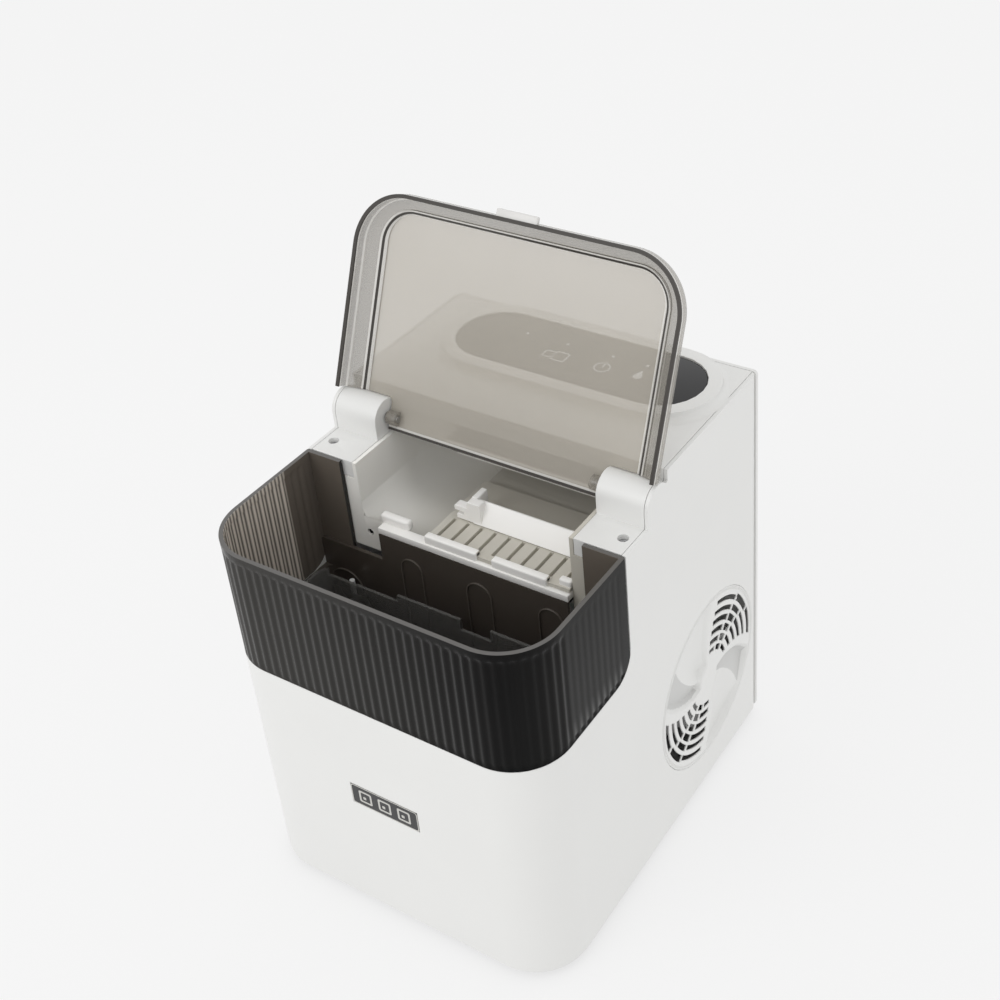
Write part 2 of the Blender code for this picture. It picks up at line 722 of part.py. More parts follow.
def fan():
    """Square bracket with a spoked hub, the motor behind it, and the shaft and blades in front."""
    half = 0.0525
    bracket_x = (0.087, 0.090)
    hub_radius = 0.018
    edge = rectangle((FAN_Y - half, FAN_Z - half), (FAN_Y + half, FAN_Z + half), 0.004)
    bracket = plate("fan_bracket", [edge, circle((FAN_Y, FAN_Z), 0.047)], *bracket_x, "X")
    fuse(bracket, plate("bracket_hub", [circle((FAN_Y, FAN_Z), hub_radius, 24)], *bracket_x, "X"))
    middle = Matrix.Translation((sum(bracket_x) / 2, FAN_Y, FAN_Z))
    spoke_middle = 0.0325
    for k in range(3):
        spoke = box(f"bracket_spoke_{k}", (-0.0015, -0.0175, -0.003), (0.0015, 0.0175, 0.003))
        turn = Matrix.Rotation(math.radians(120 * k + 90), 4, "X")
        spoke.matrix_world = middle @ turn @ Matrix.Translation((0, spoke_middle, 0))
        fuse(bracket, spoke)
    shaft = 0.0020
    bore = shaft + 0.0004
    cut(bracket, rod("bracket_bore", (0.08, FAN_Y, FAN_Z), bore, 0.02, "X", steps=16))
    finished(bracket, PALE)
    can = 0.0170
    length = 0.020
    shell = [(can, length), (can, 0), (shaft + GAP, 0), (shaft + GAP, length)]
    finished(turned("fan_motor", shell, (0.0665, FAN_Y, FAN_Z), "X", ring=True), PAINTED)
    finished(rod("fan_shaft", (0.0640, FAN_Y, FAN_Z), shaft, 0.0280, "X", steps=16), STEEL)
    wheel_length = 0.014
    wheel = rod("fan_blade", (FAN_X - wheel_length / 2, FAN_Y, FAN_Z), 0.015, wheel_length, "X")
    count = 7
    blade_middle = 0.029
    pitch = Matrix.Rotation(math.radians(55), 4, "Y")
    for k in range(count):
        blade = box(f"blade_{k}", (-0.0008, -0.016, -0.009), (0.0008, 0.016, 0.009))
        turn = Matrix.Rotation(2 * math.pi * k / count, 4, "X")
        place = Matrix.Translation((FAN_X, FAN_Y, FAN_Z))
        blade.matrix_world = place @ turn @ Matrix.Translation((0, blade_middle, 0)) @ pitch
        fuse(wheel, blade)
    finished(wheel, PALE)


def fan_grille():
    """Round grille: two slotted petals and two plain ones."""
    holes = []
    first_radius = 0.020
    pitch = 0.0058
    slot = 0.0032
    spread = math.radians(26)
    steps = 4
    for middle in (math.radians(55), math.radians(235)):
        for ring in range(7):
            radius = first_radius + pitch * ring
            arc = []
            for r, ends in ((radius + slot, (-spread, spread)), (radius, (spread, -spread))):
                for k in range(steps + 1):
                    a = middle + ends[0] + (ends[1] - ends[0]) * k / steps
                    arc.append(Vector((FAN_Y + r * math.cos(a), FAN_Z + r * math.sin(a))))
            holes.append(arc)
    disc = circle((FAN_Y, FAN_Z), GRILLE_RADIUS, 48)
    finished(plate("fan_grille", [disc] + holes, HALF - 0.004, HALF, "X"), WHITE)


def pump():
    """Cup with the motor below and the impeller in its open top, under a cover with a spout into the tub."""
    outer = 0.018
    bowl = 0.014
    cup = [(0, 0.026), (bowl, 0.026), (bowl, 0.038), (outer, 0.038), (outer, 0), (0, 0)]
    finished(turned("pump_body", cup, (PUMP_X, PUMP_Y, 0.050)), BLACK)
    finished(rod("pump_impeller", (PUMP_X, PUMP_Y, 0.078), 0.012, 0.008), WHITE)
    spout = 0.0072
    bore = 0.0055
    cover = [(spout, 0.0114), (spout, 0.003), (outer, 0.003), (outer, 0), (bore, 0), (bore, 0.0114)]
    finished(turned("pump_cover", cover, (PUMP_X, PUMP_Y, 0.0883), ring=True), PALE)


def water_lines():
    """Supply hose from pump to tray, drain tube with its port and plug, and the gland for the cord."""
    hose_x = -0.098
    hose_z = 0.060
    bend = 0.010
    finished(tube("supply_hose", [
        ((PUMP_X - 0.0183, PUMP_Y, hose_z), 0),
        ((hose_x, PUMP_Y, hose_z), bend),
        ((hose_x, TRAY_Y, hose_z), bend),
        ((hose_x, TRAY_Y, TRAY_Z), bend),
        ((TRUNNION_X[-1] - GAP, TRAY_Y, TRAY_Z), 0),
    ], 0.0035), PALE)
    port_y = 0.1140
    finished(tube("drain_tube", [
        ((DRAIN_X, PIPE_Y, TUB_Z - GAP), 0),
        ((DRAIN_X, PIPE_Y, DRAIN_Z), 0.012),
        ((DRAIN_X, port_y - GAP, DRAIN_Z), 0),
    ], 0.005), PALE)
    outer = 0.008
    bore = 0.0055
    length = 0.0205
    sleeve = [(outer, length), (outer, 0), (bore, 0), (bore, length)]
    finished(turned("drain_port", sleeve, (DRAIN_X, port_y, DRAIN_Z), "Y", ring=True), PALE)
    finished(rod("drain_plug", (DRAIN_X, 0.1145, DRAIN_Z), bore - GAP, 0.0202, "Y"), RUBBER)
    cord_bore = 0.0045
    length = 0.0125
    gland = [(outer, length), (outer, 0), (cord_bore, 0), (cord_bore, length)]
    finished(turned("cord_gland", gland, (GLAND_X, REAR_Y - GAP - length, GLAND_Z), "Y", ring=True), BLACK)


def ice_basket():
    """Open basket with slots low in its long walls and a stepped rear rim."""
    low_z = TUB_Z + WALL + 0.002
    top_z = 0.190
    wall = 0.002
    half = 0.100
    front = -0.124
    rear = -0.052
    outside = footprint(half, front, rear, 0.026, 0.008)
    basket = plate("ice_basket", [outside], low_z, top_z)
    inside = footprint(half - wall, front + wall, rear - wall, 0.024, 0.006)
    cut(basket, plate("basket_inside", [inside], low_z + wall, ABOVE))
    pitch = 0.022
    slot_half = 0.004
    for k in range(-3, 4):
        x = pitch * k
        cut(basket, box(f"basket_slot_{k + 3}", (x - slot_half, -0.2, 0.118), (x + slot_half, 0, 0.165)))
    steps = (("rim_step", 0.008, 0.030, 0.182), ("rim_step_left", -0.095, -0.040, 0.185))
    for name, x_low, x_high, z in steps:
        cut(basket, box(name, (x_low, rear - 0.008, z), (x_high, rear + 0.007, ABOVE)))
    return finished(basket, PALE)


def level_float():
    """Ring float that slides on a guide pin."""
    pin = 0.0018
    base = 0.005
    base_height = 0.0015
    height = 0.075
    guide = [(0, height), (pin, height), (pin, base_height), (base, base_height), (base, 0), (0, 0)]
    finished(turned("float_guide", guide, (FLOAT_X, FLOAT_Y, TUB_Z + WALL + GAP), steps=16), WHITE)
    outer = 0.0058
    thickness = 0.012
    bore = pin + GAP
    ring = [(outer, thickness), (outer, 0), (bore, 0), (bore, thickness)]
    finished(turned("level_float", ring, (FLOAT_X, FLOAT_Y, 0.118), ring=True, steps=16), WHITE)


def sensors():
    radius = 0.0021
    length = 0.009
    eye = [(0, length), (radius, length), (radius, 0.001), (0.0012, 0), (0, 0)]
    for side, name in ((-1, "left"), (1, "right")):
        sensor = turned(f"ice_sensor_{name}", eye, (SENSOR_X[side], POST_Y + 0.0005, SENSOR_Z), "Y", steps=12)
        finished(sensor, BLACK)


def boards_and_badge():
    finished(box("control_board", (-0.085, 0.124, 0.200), (-0.010, 0.1256, 0.270)), BOARD)
    edge = rectangle((-BADGE_HALF, BADGE_Z[0]), (BADGE_HALF, BADGE_Z[1]), 0.002)
    finished(plate("front_badge", [edge], FRONT_Y, FRONT_Y + 0.0008, "Y"), BLACK)


def lid():
    """Shallow see-through lid, modelled closed and then turned open about the hinge."""
    rim_z = RIM_Z + GAP
    shoulder_z = rim_z + 0.008
    top_z = rim_z + 0.015
    inset = 0.017
    end_y = ARM_Y - GAP
    middle_x = ARM_X - 0.0013

    def loop(offset, height):
        half = HALF - offset
        front = FRONT_Y + offset
        radius = FRONT_RADIUS - offset
        corners = [((half, end_y), 0), ((half, front), radius), ((-half, front), radius), ((-half, end_y), 0)]
        return [(*place, height) for place in rounded_path(corners, closed=False, steps=10)]

    mesh = bpy.data.meshes.new("lid_shell")
    bm = bmesh.new()
    rows = [[bm.verts.new(p) for p in loop(*row)] for row in ((0, rim_z), (0, shoulder_z), (inset, top_z))]
    for lower, upper in zip(rows, rows[1:]):
        for k in range(len(lower) - 1):
            bm.faces.new((lower[k], lower[k + 1], upper[k + 1], upper[k]))
    notch = [bm.verts.new((x, y, top_z)) for x, y in
             ((-middle_x, end_y), (-middle_x, 0.008), (middle_x, 0.008), (middle_x, end_y))]
    bm.faces.new(rows[2] + notch)
    edge = [bm.verts.new((x, 0.0144, 0.272)) for x in (-middle_x, middle_x)]
    bm.faces.new((notch[2], notch[1], edge[0], edge[1]))
    bmesh.ops.recalc_face_normals(bm, faces=bm.faces)
    highest = max(bm.faces, key=lambda face: face.calc_center_median().z)
    if highest.normal.z < 0:
        bmesh.ops.reverse_faces(bm, faces=bm.faces)
    bm.to_mesh(mesh)
    bm.free()
    shell = link(bpy.data.objects.new("lid_shell", mesh))
    skin = shell.modifiers.new("wall", "SOLIDIFY")
    skin.thickness = WALL
    skin.offset = -1
    skin.use_even_offset = True
    tab_half = 0.0145
    tab = rectangle((-tab_half, FRONT_Y - 0.0045), (tab_half, FRONT_Y + 0.001))
    fuse(shell, plate("lid_tab", [tab], rim_z + 0.0005, rim_z + 0.003))
    bore = 0.0025
    knuckle_x = 0.071
    knuckle_length = 0.0075
    margin = 0.005
    pin_length = 0.0175
    for side, name in ((-1, "left"), (1, "right")):
        start = min(side * knuckle_x, side * (knuckle_x + knuckle_length))
        fuse(shell, rod(f"knuckle_{name}", (start, HINGE_Y, HINGE_Z), 0.0047, knuckle_length, "X", steps=18))
        bore_start = (start - margin, HINGE_Y, HINGE_Z)
        bore_length = knuckle_length + 2 * margin
        cut(shell, rod(f"knuckle_bore_{name}", bore_start, bore, bore_length, "X", steps=16))
        pin_start = min(side * 0.0712, side * (0.0712 + pin_length))
        pin = rod(f"hinge_pin_{name}", (pin_start, HINGE_Y, HINGE_Z), bore - GAP, pin_length, "X", steps=16)
        finished(pin, STEEL)
    finished(shell, LID_SMOKE)
    swing = pivot("lid_hinge_axis", (0, HINGE_Y, HINGE_Z), shell)
    for tool in list(CUTTERS.objects):
        if tool.name.startswith(("lid_tab", "knuckle")):
            place = tool.matrix_basis.copy()
            tool.parent = swing
            tool.matrix_parent_inverse = Matrix.Translation((0, -HINGE_Y, -HINGE_Z))
            tool.matrix_basis = place
    swing.rotation_euler = (-LID_OPEN, 0, 0)


clear_scene()
PARTS = new_collection("ice_maker")
CUTTERS = new_collection("cutters")
base_pan()
outer_shell()
rear_cover()
top_deck()
control_panel()
bin_window()
reservoir_tub()
chamber_liner()
ice_grid()
pivot("shovel_slide_axis", (0.030, 0, GRID_Z), ice_shovel())
pivot("tray_tilt_axis", (0, TRAY_Y, TRAY_Z), water_tray())
tray_motor()
evaporator()
compressor()
condenser()
refrigerant_circuit()
fan()
fan_grille()
pump()
water_lines()
ice_basket()
level_float()
sensors()
boards_and_badge()
lid()
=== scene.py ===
"""Looks of a countertop ice maker with its lid open. Metres, +Z up, front towards -Y."""

import json
import math

import bmesh
import bpy
from mathutils import Matrix, Vector


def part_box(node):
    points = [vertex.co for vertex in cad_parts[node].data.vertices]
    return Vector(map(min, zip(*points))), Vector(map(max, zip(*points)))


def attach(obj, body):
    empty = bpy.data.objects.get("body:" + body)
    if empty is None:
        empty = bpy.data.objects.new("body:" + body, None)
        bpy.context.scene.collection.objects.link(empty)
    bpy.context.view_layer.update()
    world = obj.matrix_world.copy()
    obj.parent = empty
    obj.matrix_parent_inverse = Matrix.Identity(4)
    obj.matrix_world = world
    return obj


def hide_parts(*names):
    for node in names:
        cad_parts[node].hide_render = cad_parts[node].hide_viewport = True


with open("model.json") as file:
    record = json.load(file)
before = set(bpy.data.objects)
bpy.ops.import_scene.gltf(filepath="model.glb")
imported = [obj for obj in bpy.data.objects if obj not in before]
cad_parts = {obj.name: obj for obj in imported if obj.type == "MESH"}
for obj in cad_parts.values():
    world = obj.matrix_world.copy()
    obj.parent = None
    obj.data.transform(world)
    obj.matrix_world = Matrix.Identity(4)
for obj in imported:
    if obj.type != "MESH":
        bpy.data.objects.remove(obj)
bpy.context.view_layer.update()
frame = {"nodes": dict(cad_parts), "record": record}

# Places taken from the frame
JOINTS = {joint["name"]: joint for joint in frame["record"]["behaviour"]["joints"]}
BODY_OF = {node: body for body, nodes in frame["record"]["behaviour"]["bodies"].items() for node in nodes}
SLOT_OF = {part["node"]: part["material_slot"] for part in frame["record"]["subparts"]}
HINGE = Vector(JOINTS["lid_hinge"]["pos_m"])
LID_OPEN = math.radians(JOINTS["lid_hinge"]["range_deg"][0])
SHELL_LOW, SHELL_HIGH = (Vector(corner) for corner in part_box("outer_shell"))
WINDOW_LOW, WINDOW_HIGH = (Vector(corner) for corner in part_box("bin_window"))
LENS_LOW, LENS_HIGH = (Vector(corner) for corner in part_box("control_lens"))
GRILLE_LOW, GRILLE_HIGH = (Vector(corner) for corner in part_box("fan_grille"))
GRID_LOW, GRID_HIGH = (Vector(corner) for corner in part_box("ice_grid"))
TUB_HIGH = Vector(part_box("reservoir_tub")[1])
BADGE_LOW, BADGE_HIGH = (Vector(corner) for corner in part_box("front_badge"))
HALF = SHELL_HIGH.x
POST_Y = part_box("chamber_liner")[0][1]
FLOOR_TOP = GRID_LOW.z - 0.0003
FRONT_Y = SHELL_LOW.y
DECK_Z = SHELL_HIGH.z
FRONT_RADIUS = 0.036
FLUTE_PITCH = 0.0063
GAP = 0.0003
MERGE = 1e-6
NEARLY_FLAT = math.radians(0.5)

# Depth and scale of the fine grain on moulded plastic
GRAIN_DEPTH = 0.00002
GRAIN_SCALE = 1400

# Colours, linear
WHITE = (0.78, 0.78, 0.765)
GREY = (0.55, 0.55, 0.54)
LID_SMOKE = (0.53, 0.492, 0.425)
BROWN = (0.24, 0.195, 0.15)
BLACK = (0.008, 0.008, 0.009)
PALE_ICON = (0.75, 0.77, 0.78)


class Value:
    """A number inside a finish. Arithmetic on it adds Math nodes."""

    def __init__(self, finish, socket):
        self.finish = finish
        self.socket = socket

    def __add__(self, other):
        return self.finish.maths("ADD", self, other)

    def __sub__(self, other):
        return self.finish.maths("SUBTRACT", self, other)

    def __rsub__(self, other):
        return self.finish.maths("SUBTRACT", other, self)

    def __mul__(self, other):
        return self.finish.maths("MULTIPLY", self, other)

    def __gt__(self, other):
        return self.finish.maths("GREATER_THAN", self, other)

    __radd__ = __add__
    __rmul__ = __mul__


class Finish:
    """A material and its Principled shader. Every other node comes from node()."""

    def __init__(self, name, **fixed):
        self.material = bpy.data.materials.new(name)
        self.material.use_nodes = True
        self.tree = self.material.node_tree
        self.shader = self.tree.nodes["Principled BSDF"]
        for socket, value in fixed.items():
            self.shader.inputs[socket.replace("_", " ").title().replace("Ior", "IOR")].default_value = value
        self.place = self.node("ShaderNodeTexCoord").outputs["Object"]

    def node(self, kind, settings=None, values=None):
        made = self.tree.nodes.new(kind)
        for key, value in (settings or {}).items():
            setattr(made, key, value)
        for key, value in (values or {}).items():
            self.feed(made.inputs[key], value)
        return made

    def feed(self, socket, value):
        if isinstance(value, Value):
            value = value.socket
        if isinstance(value, bpy.types.NodeSocket):
            self.tree.links.new(value, socket)
        else:
            socket.default_value = value

    def maths(self, operation, first, second):
        made = self.node("ShaderNodeMath", {"operation": operation}, {0: first, 1: second})
        return Value(self, made.outputs[0])

    def stretched(self, stretch):
        """Object coordinates stretched along each axis."""
        made = self.node("ShaderNodeMapping", {}, {"Vector": self.place, "Scale": stretch})
        return made.outputs["Vector"]

    def noise(self, scale, detail=2.0, stretch=(1, 1, 1)):
        values = {"Vector": self.stretched(stretch), "Scale": scale, "Detail": detail}
        return Value(self, self.node("ShaderNodeTexNoise", {}, values).outputs["Fac"])

    def ramp(self, value, low, high):
        """Rises from 0 at low to 1 at high."""
        values = {"Value": value, "From Min": low, "From Max": high}
        return Value(self, self.node("ShaderNodeMapRange", {"clamp": True}, values).outputs[0])

    def mix(self, factor, first, second):
        values = {0: factor, 6: (*first, 1), 7: (*second, 1)}
        return self.node("ShaderNodeMix", {"data_type": "RGBA"}, values).outputs[2]

    def colour(self, factor, first, second):
        self.feed(self.shader.inputs["Base Color"], self.mix(factor, first, second))

    def roughness(self, value):
        self.feed(self.shader.inputs["Roughness"], value)

    def bump(self, height, distance, strength=1.0):
        values = {"Height": height, "Distance": distance, "Strength": strength}
        made = self.node("ShaderNodeBump", {}, values)
        self.feed(self.shader.inputs["Normal"], made.outputs["Normal"])


def shaded(colour, factor):
    return tuple(min(1.0, channel * factor) for channel in colour)


def moulded(name, colour, roughness, grain=GRAIN_DEPTH, mottle=0.02, **fixed):
    """Moulded plastic: a faint flow mottle in its colour, uneven gloss and a fine grain."""
    finish = Finish(name, **fixed)
    flow = finish.noise(14, 3)
    finish.colour(flow, shaded(colour, 1 - mottle), shaded(colour, 1 + mottle))
    finish.roughness(roughness + 0.10 * (finish.noise(45, 3) - 0.5))
    finish.bump(finish.noise(GRAIN_SCALE, 2), grain)
    return finish.material


def see_through(name, colour, roughness, alpha, **fixed):
    """Tinted clear plastic: its depth of tint wanders a little and its skin has faint flow lines."""
    finish = Finish(name, **fixed)
    flow = finish.noise(9, 2)
    finish.colour(flow, shaded(colour, 0.94), shaded(colour, 1.06))
    finish.feed(finish.shader.inputs["Alpha"], alpha + 0.04 * (finish.noise(16, 2) - 0.5))
    finish.roughness(roughness + 0.05 * (finish.noise(60, 3) - 0.5))
    finish.bump(finish.noise(70, 2), GRAIN_DEPTH)
    return finish.material


def fluted_inside(name, crest_highlight, hollow_shade, plain):
    """Inner skin of the window: painted light along its left wall, in painted highlight and painted shade
    stripes, two stripes to a flute, and else plain.
    """
    stripe_pitch = FLUTE_PITCH / 2
    rear_start, rear_end = -0.0600, -0.0580
    right_start, right_end = 0, 0.04
    finish = Finish(name, specular_ior_level=0.2, roughness=0.25)
    axes = finish.node("ShaderNodeSeparateXYZ", {}, {0: finish.place})
    along = Value(finish, axes.outputs["Y"])
    wave = 0.5 + 0.5 * finish.maths("SINE", along * (2 * math.pi / stripe_pitch), 0)
    # Painted light: pale crest stripes are painted highlights and dark hollow stripes are painted shade on
    # the flutes
    painted_flute_light = finish.mix(wave + 0.2 * (finish.noise(30, 2) - 0.5), hollow_shade, crest_highlight)
    rear = finish.ramp(axes.outputs["Y"], rear_start, rear_end)
    right = finish.ramp(axes.outputs["X"], right_start, right_end)
    values = {0: rear + right, 6: painted_flute_light, 7: (*plain, 1)}
    blend = finish.node("ShaderNodeMix", {"data_type": "RGBA"}, values)
    finish.feed(finish.shader.inputs["Base Color"], blend.outputs[2])
    finish.feed(finish.shader.inputs["Alpha"], 0.97 - 0.03 * wave)
    return finish.material


def chamber(name, left, right):
    """Warm white plastic with painted light: paler at the left where light falls, with painted shade
    darkening it towards the right.
    """
    finish = Finish(name)
    axes = finish.node("ShaderNodeSeparateXYZ", {}, {0: finish.place})
    pale_end, full_start = -0.080, -0.020
    # Painted light and shade across the chamber: pale at the left, dark at the right
    painted_light_across = finish.ramp(axes.outputs["X"], pale_end, full_start)
    finish.colour(painted_light_across + 0.10 * (finish.noise(14, 3) - 0.5), left, right)
    finish.roughness(0.42 + 0.10 * (finish.noise(45, 3) - 0.5))
    finish.bump(finish.noise(GRAIN_SCALE, 2), GRAIN_DEPTH)
    return finish.material


def smoked(name, left, right, roughness):
    """Deep smoked plastic whose colour goes from left to right as painted light, paler at the left and
    darker at the right, lighter on the side walls behind the round corners, and whose tint thins towards
    its rim.
    """
    finish = Finish(name, specular_ior_level=0.08)
    axes = finish.node("ShaderNodeSeparateXYZ", {}, {0: finish.place})
    painted_light_across = finish.ramp(axes.outputs["X"], -HALF, HALF * 0.8)
    painted_side_light = finish.ramp(axes.outputs["Y"], FRONT_Y + 0.006, FRONT_Y + FRONT_RADIUS)
    # Painted light: colour runs from the lit left to the shaded right, and the side walls are painted
    # lighter
    finish.colour(painted_light_across - 0.12 * painted_side_light * painted_light_across + 0.15 * (finish.noise(12, 2) - 0.5), left, right)
    rise = finish.ramp(axes.outputs["Z"], WINDOW_LOW.z + 0.04, WINDOW_HIGH.z)
    finish.feed(finish.shader.inputs["Alpha"], 0.985 - 0.07 * rise)
    finish.roughness(roughness + 0.05 * (finish.noise(60, 3) - 0.5))
    finish.bump(finish.noise(70, 2), GRAIN_DEPTH)
    return finish.material


def brushed(name, colour, roughness, stretch=(1, 1, 14), mottle=0.10):
    """Bare metal with fine brushing along one axis."""
    finish = Finish(name, metallic=1.0)
    lines = finish.noise(260, 3, stretch)
    finish.colour(lines, shaded(colour, 1 - mottle), shaded(colour, 1 + mottle))
    finish.roughness(roughness + 0.18 * (lines - 0.5))
    finish.bump(lines, 0.00003)
    return finish.material


def enamelled(name, colour, roughness):
    """Thick black enamel with orange peel."""
    finish = Finish(name, coat_weight=0.4, coat_roughness=0.12)
    peel = finish.noise(220, 2)
    finish.colour(finish.noise(30, 3), shaded(colour, 0.8), shaded(colour, 1.3))
    finish.roughness(roughness + 0.12 * (peel - 0.5))
    finish.bump(peel, 0.00008)
    return finish.material


def rubbery(name, colour):
    """Matt rubber with a dusty bloom."""
    finish = Finish(name)
    dust = finish.noise(120, 5)
    finish.colour(dust, shaded(colour, 0.7), shaded(colour, 1.6))
    finish.roughness(0.75 + 0.2 * (dust - 0.5))
    finish.bump(finish.noise(900, 3), 0.00006)
    return finish.material


def circuit(name):
    """Green board with copper tracks under the lacquer."""
    finish = Finish(name, coat_weight=0.3, coat_roughness=0.2)
    cells = finish.node("ShaderNodeTexBrick", {"offset": 0.5}, {
        "Vector": finish.stretched((1, 1, 1)), "Scale": 160, "Mortar Size": 0.03,
        "Color1": (1, 1, 1, 1), "Color2": (0.6, 0.6, 0.6, 1), "Mortar": (0, 0, 0, 1),
    })
    tracks = Value(finish, cells.outputs["Fac"])
    finish.colour(tracks, (0.010, 0.090, 0.030), (0.10, 0.26, 0.08))
    finish.roughness(0.45 + 0.1 * (finish.noise(80) - 0.5))
    finish.bump(tracks, 0.00004)
    return finish.material


FINISHES = {
    "white_plastic": moulded("white_plastic", WHITE, 0.34, specular_ior_level=0.5),
    # Darker copy of the white plastic: painted shade in the grille's dished facets
    "facet_painted_shade": moulded("facet_painted_shade", shaded(WHITE, 0.78), 0.4),
    "grey_plastic": moulded("grey_plastic", GREY, 0.5, mottle=0.05),
    # Window smoke with painted light, paler at the left, and painted shade at the right
    "smoky_window": smoked("smoky_window", (0.050, 0.048, 0.045), (0.003, 0.003, 0.003), 0.17),
    # Inner skin of the window, with painted highlight and shade stripes on its left wall
    "smoky_window_inside": fluted_inside(
        "smoky_window_inside", (0.75, 0.68, 0.60), (0.15, 0.135, 0.12), (0.14, 0.12, 0.10)
    ),
    "window_rim": moulded("window_rim", (0.11, 0.105, 0.10), 0.25),
    # Painted dark edge lines and painted highlight lines for the lid's edges and step
    "lid_painted_dark_line": moulded("lid_painted_dark_line", (0.055, 0.050, 0.045), 0.25, specular_ior_level=0.3),
    "lid_painted_highlight_line": see_through("lid_painted_highlight_line", (0.80, 0.78, 0.74), 0.2, 0.7),
    "lid_tab": see_through("lid_tab", (0.78, 0.77, 0.75), 0.2, 0.85),
    # Chamber white with painted light at the left and painted shade at the right
    "chamber_plastic": chamber("chamber_plastic", (0.95, 0.94, 0.90), (0.58, 0.555, 0.49)),
    "chamber_lip": moulded("chamber_lip", (0.95, 0.94, 0.915), 0.38),
    # Lighter outline colour: painted highlight on the tub's arch edges
    "tub_arch_highlight": moulded("tub_arch_highlight", (0.105, 0.092, 0.078), 0.25),
    "dark_tub": moulded("dark_tub", (0.075, 0.063, 0.053), 0.24, mottle=0.10),
    "smoky_lid": see_through("smoky_lid", LID_SMOKE, 0.12, 0.52),
    # Darker copy of the lid smoke: painted shade for the skirt, shoulder and knuckles
    "smoky_lid_painted_shade": see_through("smoky_lid_painted_shade", shaded(LID_SMOKE, 0.62), 0.12, 0.50),
    "brown_clear": see_through("brown_clear", BROWN, 0.20, 0.88),
    "pale_basket": see_through("pale_basket", (0.16, 0.157, 0.15), 0.30, 0.60),
    "black_gloss": moulded("black_gloss", BLACK, 0.10, grain=0.000004, mottle=0.15),
    "rubber": rubbery("rubber", (0.020, 0.020, 0.020)),
    "silicone_hose": see_through("silicone_hose", (0.72, 0.72, 0.69), 0.35, 0.85),
    "steel": brushed("steel", (0.55, 0.55, 0.56), 0.32),
    "nickel_plate": brushed("nickel_plate", (0.62, 0.61, 0.58), 0.22, (1, 14, 1), 0.05),
    "black_paint": enamelled("black_paint", (0.012, 0.012, 0.013), 0.35),
    "aluminium_fins": brushed("aluminium_fins", (0.72, 0.73, 0.74), 0.38, (14, 1, 1)),
    "copper": brushed("copper", (0.72, 0.34, 0.19), 0.28, (3, 3, 3), 0.18),
    "circuit_board": circuit("circuit_board"),
    "pale_print": moulded("pale_print", PALE_ICON, 0.4),
}


def rounded_path(corners, closed=True, steps=8):
    """Points of a path whose corners, each a place and a radius, are turned into arcs."""
    path = []
    count = len(corners)
    for i, (place, radius) in enumerate(corners):
        here = Vector(place)
        at_end = not closed and i in (0, count - 1)
        if radius == 0 or at_end:
            path.append(here)
            continue
        back = (Vector(corners[i - 1][0]) - here).normalized()
        ahead = (Vector(corners[(i + 1) % count][0]) - here).normalized()
        half = back.angle(ahead) / 2
        reach = radius / math.tan(half)
        centre = here + (back + ahead).normalized() * radius / math.sin(half)
        start = here + back * reach - centre
        end = here + ahead * reach - centre
        turn = math.pi - 2 * half
        for k in range(steps + 1):
            swing = turn * k / steps
            spoke = start * math.sin(turn - swing) + end * math.sin(swing)
            path.append(centre + spoke / math.sin(turn))
    return path


def rectangle(low, high, radius=0.0, steps=5):
    corners = ((low[0], low[1]), (high[0], low[1]), (high[0], high[1]), (low[0], high[1]))
    return rounded_path([(corner, radius) for corner in corners], steps=steps)


def circle(centre, radius, steps=32):
    turns = [2 * math.pi * k / steps for k in range(steps)]
    return [Vector((centre[0] + radius * math.cos(a), centre[1] + radius * math.sin(a))) for a in turns]


def chain(bm, points, closed=False):
    """Edges through points in order."""
    verts = [bm.verts.new(point) for point in points]
    ends = verts[1:] + verts[:1] if closed else verts[1:]
    return [bm.edges.new(pair) for pair in zip(verts, ends)]


def loft(bm, rows, closed=False):
    """Faces between rows of points. Gives the edges of each row and the faces of each strip."""
    loops = [chain(bm, row, closed) for row in rows]
    strips = []
    for lower, upper in zip(loops, loops[1:]):
        strips.append(bmesh.ops.bridge_loops(bm, edges=lower + upper)["faces"])
    return loops, strips


# Turns a flat outline and its thickness to stand along an axis
STANDING = {
    "X": Matrix(((0, 0, 1, 0), (1, 0, 0, 0), (0, 1, 0, 0), (0, 0, 0, 1))),
    "Y": Matrix(((1, 0, 0, 0), (0, 0, -1, 0), (0, 1, 0, 0), (0, 0, 0, 1))),
    "Z": Matrix.Identity(4),
}


def panel(outlines, low, high, axis="Z", into=None):
    """Solid between low and high along an axis. The first outline is its edge, the others are holes."""
    bm = bmesh.new()
    edges = []
    for outline in outlines:
        edges += chain(bm, [(point[0], point[1], 0) for point in outline], closed=True)
    if len(outlines) == 1:
        bm.faces.new([edge.verts[0] for edge in edges])
    else:
        bmesh.ops.triangle_fill(bm, use_beauty=True, edges=edges)
    extruded = bmesh.ops.extrude_face_region(bm, geom=bm.faces[:])
    top = [item for item in extruded["geom"] if isinstance(item, bmesh.types.BMVert)]
    bmesh.ops.translate(bm, verts=top, vec=(0, 0, high - low))
    start = {"X": (low, 0, 0), "Y": (0, high, 0), "Z": (0, 0, low)}[axis]
    bmesh.ops.transform(bm, matrix=Matrix.Translation(start) @ STANDING[axis], verts=bm.verts)
    bmesh.ops.recalc_face_normals(bm, faces=bm.faces)
    return joined(into, bm)


def joined(into, bm):
    """Adds one bmesh's geometry to another."""
    if into is None:
        return bm
    mesh = bpy.data.meshes.new("joined")
    bm.to_mesh(mesh)
    bm.free()
    into.from_mesh(mesh)
    bpy.data.meshes.remove(mesh)
    return into


